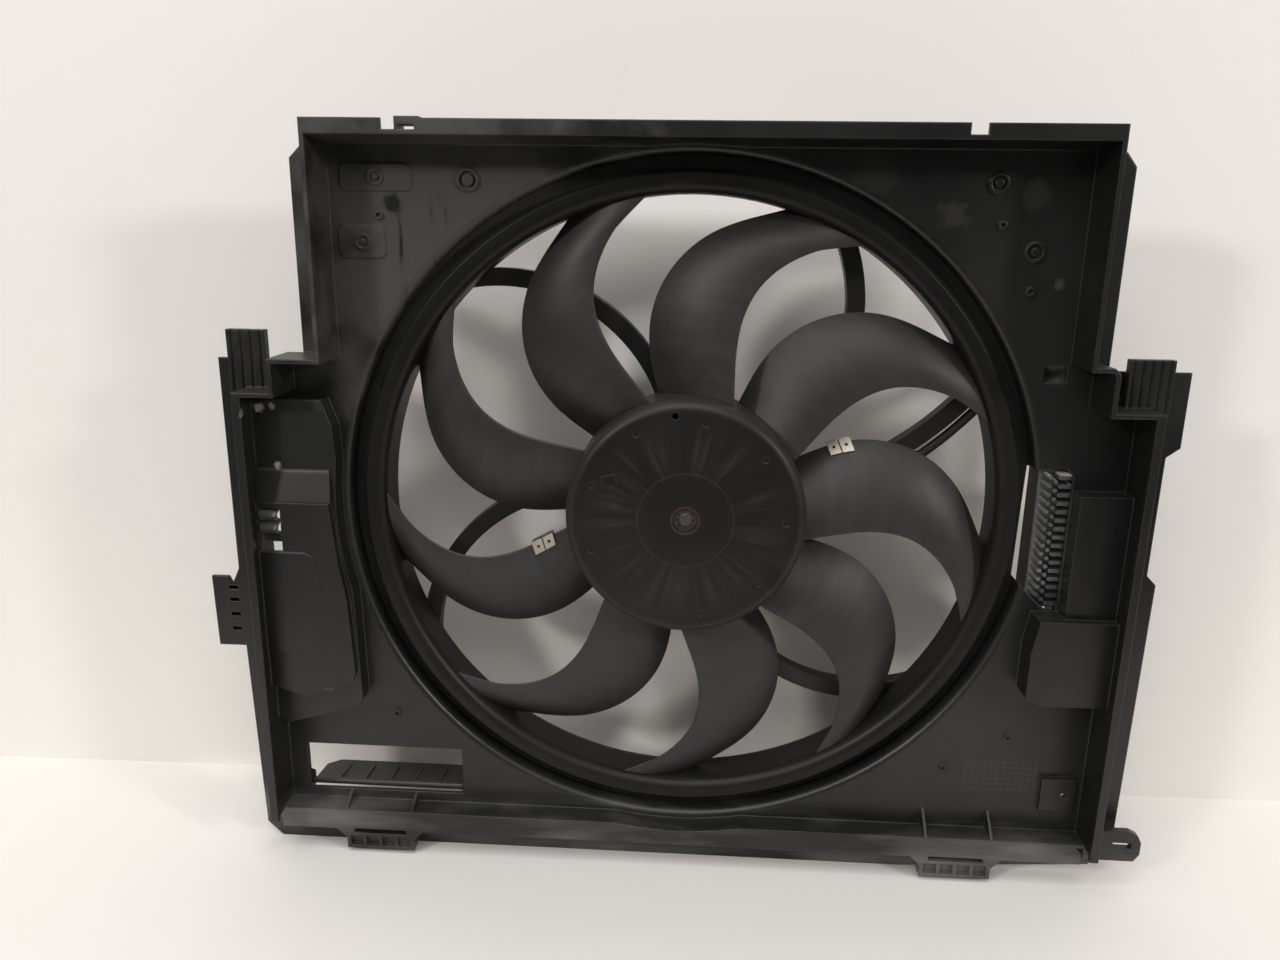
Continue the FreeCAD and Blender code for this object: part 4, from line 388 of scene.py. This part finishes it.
def make_blade_finish():
    """Matt grey with dusty streaks along the air's way and patches of dried splashes."""
    material, tree, shader, base, _ = plastic(
        "blade_grey", (0.0135, 0.0133, 0.0130), (0.12, 0.113, 0.105), 0.14, 0.38, 0.14, sheen=0.42)
    radius, angle, _ = polar(tree)
    flow = put(tree, "ShaderNodeCombineXYZ", links={
        "X": reckon(tree, "MULTIPLY", radius, 95.0), "Y": reckon(tree, "MULTIPLY", angle, 3.0)}).outputs[0]
    streak = put(tree, "ShaderNodeTexNoise", {"Scale": 1.0, "Detail": 7.0, "Roughness": 0.62},
                 {"Vector": flow})
    mask = limit(tree, reckon(tree, "MULTIPLY_ADD", streak.outputs["Fac"], 2.6, -1.1))
    base = blend_colour(tree, reckon(tree, "MULTIPLY", mask, 0.35), base, (0.062, 0.06, 0.057))
    # Dark dots: small cells, kept only where a slow noise lets them through.
    place = put(tree, "ShaderNodeTexCoord").outputs["Object"]
    cells = put(tree, "ShaderNodeTexVoronoi", {"Scale": 150.0}, {"Vector": place})
    dots = reckon(tree, "LESS_THAN", cells.outputs["Distance"], 0.17)
    where = limit(tree, reckon(tree, "MULTIPLY_ADD", noise(tree, 26.0, 2.0), 14.0, -8.6))
    dots = reckon(tree, "MULTIPLY", reckon(tree, "MULTIPLY", dots, where), 0.8)
    base = blend_colour(tree, dots, base, (0.006, 0.006, 0.006))
    tree.links.new(base, shader.inputs["Base Color"])
    return material


def make_hub_finish():
    """Darker grey with wide rays, a dusty rounded rim, a thin ring, a rusty one and a dark stain."""
    material, tree, shader, base, _ = plastic(
        "hub_grey", (0.0062, 0.0060, 0.0055), (0.105, 0.098, 0.088), 0.07, 0.36, 0.14, sheen=0.3)
    radius, angle, parts = polar(tree)
    ray = put(tree, "ShaderNodeCombineXYZ", links={
        "X": reckon(tree, "MULTIPLY", angle, 9.0), "Y": reckon(tree, "MULTIPLY", radius, 9.0),
        "Z": reckon(tree, "MULTIPLY", parts.outputs["Y"], 20.0)}).outputs[0]
    rays = put(tree, "ShaderNodeTexNoise", {"Scale": 1.0, "Detail": 4.0, "Roughness": 0.5, "Distortion": 0.6},
               {"Vector": ray})
    mask = limit(tree, reckon(tree, "MULTIPLY_ADD", rays.outputs["Fac"], 4.5, -2.1))
    mask = reckon(tree, "MULTIPLY", mask, band(tree, radius, 0.051, 0.024))
    base = blend_colour(tree, reckon(tree, "MULTIPLY", mask, 0.75), base, (0.036, 0.035, 0.033))
    rim = limit(tree, reckon(tree, "MULTIPLY_ADD", radius, 140.0, -11.1))
    rim = reckon(tree, "MULTIPLY", rim, reckon(tree, "MULTIPLY_ADD", noise(tree, 30.0, 6.0), 1.0, 0.1))
    base = blend_colour(tree, reckon(tree, "MULTIPLY", rim, 0.7), base, (0.05, 0.049, 0.047))
    ring = reckon(tree, "MULTIPLY", band(tree, radius, 0.0345, 0.0007), 0.25)
    base = blend_colour(tree, ring, base, (0.09, 0.09, 0.085))
    rust = reckon(tree, "MULTIPLY", band(tree, radius, 0.0098, 0.0014), 0.7)
    base = blend_colour(tree, rust, base, (0.055, 0.04, 0.035))
    stain = reckon(tree, "MULTIPLY", spot(tree, 0.069, -0.045, 0.012, 0.5, 50.0), 0.6)
    base = blend_colour(tree, stain, base, (0.005, 0.005, 0.005))
    tree.links.new(base, shader.inputs["Base Color"])
    return material


dress("fan_hub", make_hub_finish())
dress("fan_blades", make_blade_finish())
dress("fan_ring", plastic("ring_grey", (0.0050, 0.0050, 0.0050), (0.10, 0.098, 0.094), 0.06, 0.30, 0.16,
                          sheen=0.24)[0])


# Metal pieces
# Bare and plated steel, aluminium and copper with fine scratches, and the painted pot with its ferrite
# magnets. The push-on washer on the shaft has rusted dark, and the shaft's end beside it is dull.
def metal(name, colour, rough, spread, grime, dark=0.35):
    """Metal with fine scratches, a varying polish and grime in patches."""
    material, tree, shader = new_finish(name)
    scratch = noise(tree, 1.0, 5.0, None, (900.0, 40.0, 900.0))
    cloud = noise(tree, 80.0, 6.0)
    shade = tuple(channel * dark for channel in colour)
    tree.links.new(blend_colour(tree, reckon(tree, "MULTIPLY", cloud, grime), colour, shade),
                   shader.inputs["Base Color"])
    tree.links.new(reckon(tree, "MULTIPLY_ADD", scratch, spread, rough), shader.inputs["Roughness"])
    shader.inputs["Metallic"].default_value = 1.0
    bump = put(tree, "ShaderNodeBump", {"Strength": 0.12, "Distance": 0.0001}, {"Height": scratch})
    tree.links.new(bump.outputs[0], shader.inputs["Normal"])
    return material


plain_steel = metal("plain_steel", (0.20, 0.19, 0.18), 0.35, 0.25, 0.6)
plated_steel = metal("plated_steel", (0.5, 0.49, 0.45), 0.3, 0.25, 0.5)
for name in ("motor_shaft", "hub_insert"):
    dress(name, plain_steel)
for name in ("front_bearing", "rear_bearing"):
    dress(name, metal(name + "_steel", (0.6, 0.6, 0.6), 0.2, 0.2, 0.3))
for name in ("motor_screws", "controller_screws", "brush_springs", "motor_end_shield", "plug_contacts"):
    dress(name, plated_steel)
rusty, rust_tree, rust_shader = new_finish("rusty_steel")
rust_colour = blend_colour(rust_tree, noise(rust_tree, 260.0, 6.0), (0.022, 0.012, 0.010),
                           (0.085, 0.055, 0.045))
rust_tree.links.new(rust_colour, rust_shader.inputs["Base Color"])
rust_tree.links.new(reckon(rust_tree, "MULTIPLY_ADD", noise(rust_tree, 300.0, 3.0), 0.3, 0.55),
                    rust_shader.inputs["Roughness"])
dress("shaft_retainer", rusty)
dress("balance_clips", metal("clip_steel", (0.60, 0.54, 0.46), 0.36, 0.22, 0.45))
dress("heat_sink", metal("sink_aluminium", (0.62, 0.63, 0.64), 0.32, 0.2, 0.75, 0.18))
dress("armature_core", metal("lamination_steel", (0.32, 0.32, 0.33), 0.35, 0.3, 0.6))
dress("armature_windings", metal("copper_wire", (0.72, 0.33, 0.15), 0.3, 0.2, 0.5))
dress("commutator", metal("copper_bar", (0.78, 0.42, 0.25), 0.22, 0.2, 0.4))
dress("motor_magnets", plastic("ferrite", (0.03, 0.03, 0.032), (0.1, 0.1, 0.1), 0.1, 0.4, 0.2)[0])
dress("motor_housing", plastic("motor_paint", (0.012, 0.012, 0.013), (0.2, 0.18, 0.16), 0.3, 0.28, 0.2)[0])


# Cable, ties and grommet
# The motor's leads in black woven tape, held to their arm with straps, with a rubber sleeve at the motor.
def make_tape():
    """Black cloth tape: a fine weave as a bump under a dusty plastic."""
    material, tree, shader = plastic(
        "cable_tape", (0.010, 0.0095, 0.009), (0.16, 0.13, 0.11), 0.4, 0.62, 0.2)[:3]
    weave = put(tree, "ShaderNodeTexWave", {"Scale": 420.0, "Distortion": 2.0, "Detail": 1.0},
                {"Vector": put(tree, "ShaderNodeTexCoord").outputs["Object"]}, bands_direction="DIAGONAL")
    bump = put(tree, "ShaderNodeBump", {"Strength": 0.5, "Distance": 0.0004},
               {"Height": weave.outputs["Fac"]})
    tree.links.new(bump.outputs[0], shader.inputs["Normal"])
    return material


dress("motor_cable", make_tape())
dress("cable_ties", plastic("tie_black", (0.012, 0.012, 0.012), (0.2, 0.2, 0.2), 0.1, 0.35, 0.1)[0])
dress("cable_grommet", plastic("grommet_rubber", (0.012, 0.012, 0.012), (0.2, 0.2, 0.2), 0.2, 0.6, 0.2)[0])


# Controller and the motor's inner pieces
# Plastic cover with its plug, green circuit board, phenolic brush holder and carbon brushes.
dress("controller_cover", plastic("cover_black", (0.014, 0.014, 0.014), (0.2, 0.19, 0.18), 0.25, 0.4, 0.2)[0])
dress("plug_socket", plastic("socket_black", (0.02, 0.02, 0.02), (0.2, 0.2, 0.2), 0.15, 0.35, 0.15)[0])
dress("circuit_board", plastic("board_green", (0.01, 0.09, 0.035), (0.2, 0.25, 0.2), 0.05, 0.2, 0.15)[0])
dress("brush_holder", plastic("holder_brown", (0.06, 0.045, 0.035), (0.1, 0.1, 0.1), 0.1, 0.45, 0.15)[0])
dress("carbon_brushes", plastic("carbon", (0.025, 0.025, 0.026), (0.1, 0.1, 0.1), 0.1, 0.5, 0.15)[0])


# Room
# A white table top in front of a white wall; the shroud stands on its feet close to the wall.
FLOOR_LEVEL = -0.2892
TABLE_FRONT = -0.45
WALL_DEPTH = 0.146
WALL_TURN = math.radians(1.07)


def make_sheet(name, corners, colour, rough):
    """A large flat sheet with faint mottling and hairline scratches, clear when seen from its back."""
    mesh = bpy.data.meshes.new(name)
    mesh.from_pydata(corners, [], [(0, 1, 2, 3)])
    sheet = bpy.data.objects.new(name, mesh)
    bpy.context.scene.collection.objects.link(sheet)
    material, tree, shader = new_finish(name)
    darker = tuple(channel * 0.96 for channel in colour)
    base = blend_colour(tree, noise(tree, 3.0, 4.0), colour, darker)
    vein = noise(tree, 1.0, 3.0, None, (26.0, 3.0, 30.0))
    scratch = band(tree, vein, 0.5, 0.0035)
    where = limit(tree, reckon(tree, "MULTIPLY_ADD", noise(tree, 7.0), 8.0, -4.6))
    scratch = reckon(tree, "MULTIPLY", scratch, where)
    base = blend_colour(tree, reckon(tree, "MULTIPLY", scratch, 0.2), base, (0.3, 0.29, 0.28))
    tree.links.new(base, shader.inputs["Base Color"])
    shader.inputs["Roughness"].default_value = rough
    face = put(tree, "ShaderNodeNewGeometry")
    tree.links.new(reckon(tree, "SUBTRACT", 1.0, face.outputs["Backfacing"]), shader.inputs["Alpha"])
    mesh.materials.append(material)
    return sheet


REACH = 3
WALL_TOP = 2.5
run = REACH * math.tan(WALL_TURN)
wall_foot = [(-REACH, WALL_DEPTH - run, FLOOR_LEVEL), (REACH, WALL_DEPTH + run, FLOOR_LEVEL)]
make_sheet("table_top", [(-REACH, TABLE_FRONT, FLOOR_LEVEL), (REACH, TABLE_FRONT, FLOOR_LEVEL),
                         wall_foot[1], wall_foot[0]], (0.90, 0.88, 0.855), 0.4)
make_sheet("wall", [*wall_foot, (REACH, WALL_DEPTH + run, WALL_TOP), (-REACH, WALL_DEPTH - run, WALL_TOP)],
           (0.93, 0.905, 0.875), 0.75)


# Light and camera
# Two lamps, high at the left and at the right, throw the double shadow on the wall; a broad ceiling glow
# fills it. The camera stands where the photograph was taken from.
def make_lamp(name, heading, distance, across, power, colour):
    """A square soft lamp in a given direction from the object, pointed at it."""
    lamp = bpy.data.lights.new(name, "AREA")
    lamp.size = across
    lamp.energy = power
    lamp.color = colour
    holder = bpy.data.objects.new(name, lamp)
    way = Vector(heading).normalized()
    holder.location = way * distance
    holder.rotation_mode = "QUATERNION"
    holder.rotation_quaternion = way.to_track_quat("Z", "Y")
    bpy.context.scene.collection.objects.link(holder)


make_lamp("left_lamp", (-0.62, -0.65, 0.435), 2.6, 0.28, 18.2, (1.0, 0.97, 0.93))
make_lamp("right_lamp", (0.78, -0.515, 0.36), 2.6, 0.28, 19.6, (1.0, 0.97, 0.93))
make_lamp("ceiling", (-0.1, -0.55, 1.0), 2.6, 2.2, 50.0, (1.0, 0.985, 0.96))
world = bpy.data.worlds.new("room_light")
world.use_nodes = True
world.node_tree.nodes["Background"].inputs["Color"].default_value = (1.0, 0.985, 0.97, 1.0)
world.node_tree.nodes["Background"].inputs["Strength"].default_value = 0.09
bpy.context.scene.world = world

lens = bpy.data.cameras.new("camera")
lens.sensor_width = 36.0
lens.lens = 36.0 * 973.65 / 1280.0
lens.clip_start = 0.02
lens.clip_end = 20.0
camera = bpy.data.objects.new("camera", lens)
camera.matrix_world = Matrix((
    (0.99808466, -0.02875072, 0.05477591, 0.00507),
    (0.06033757, 0.25701967, -0.96452075, -0.64638),
    (0.01365218, 0.96597841, 0.25826214, 0.20633),
    (0.0, 0.0, 0.0, 1.0)))
bpy.context.scene.collection.objects.link(camera)
bpy.context.scene.camera = camera
bpy.context.scene.view_settings.view_transform = "Standard"
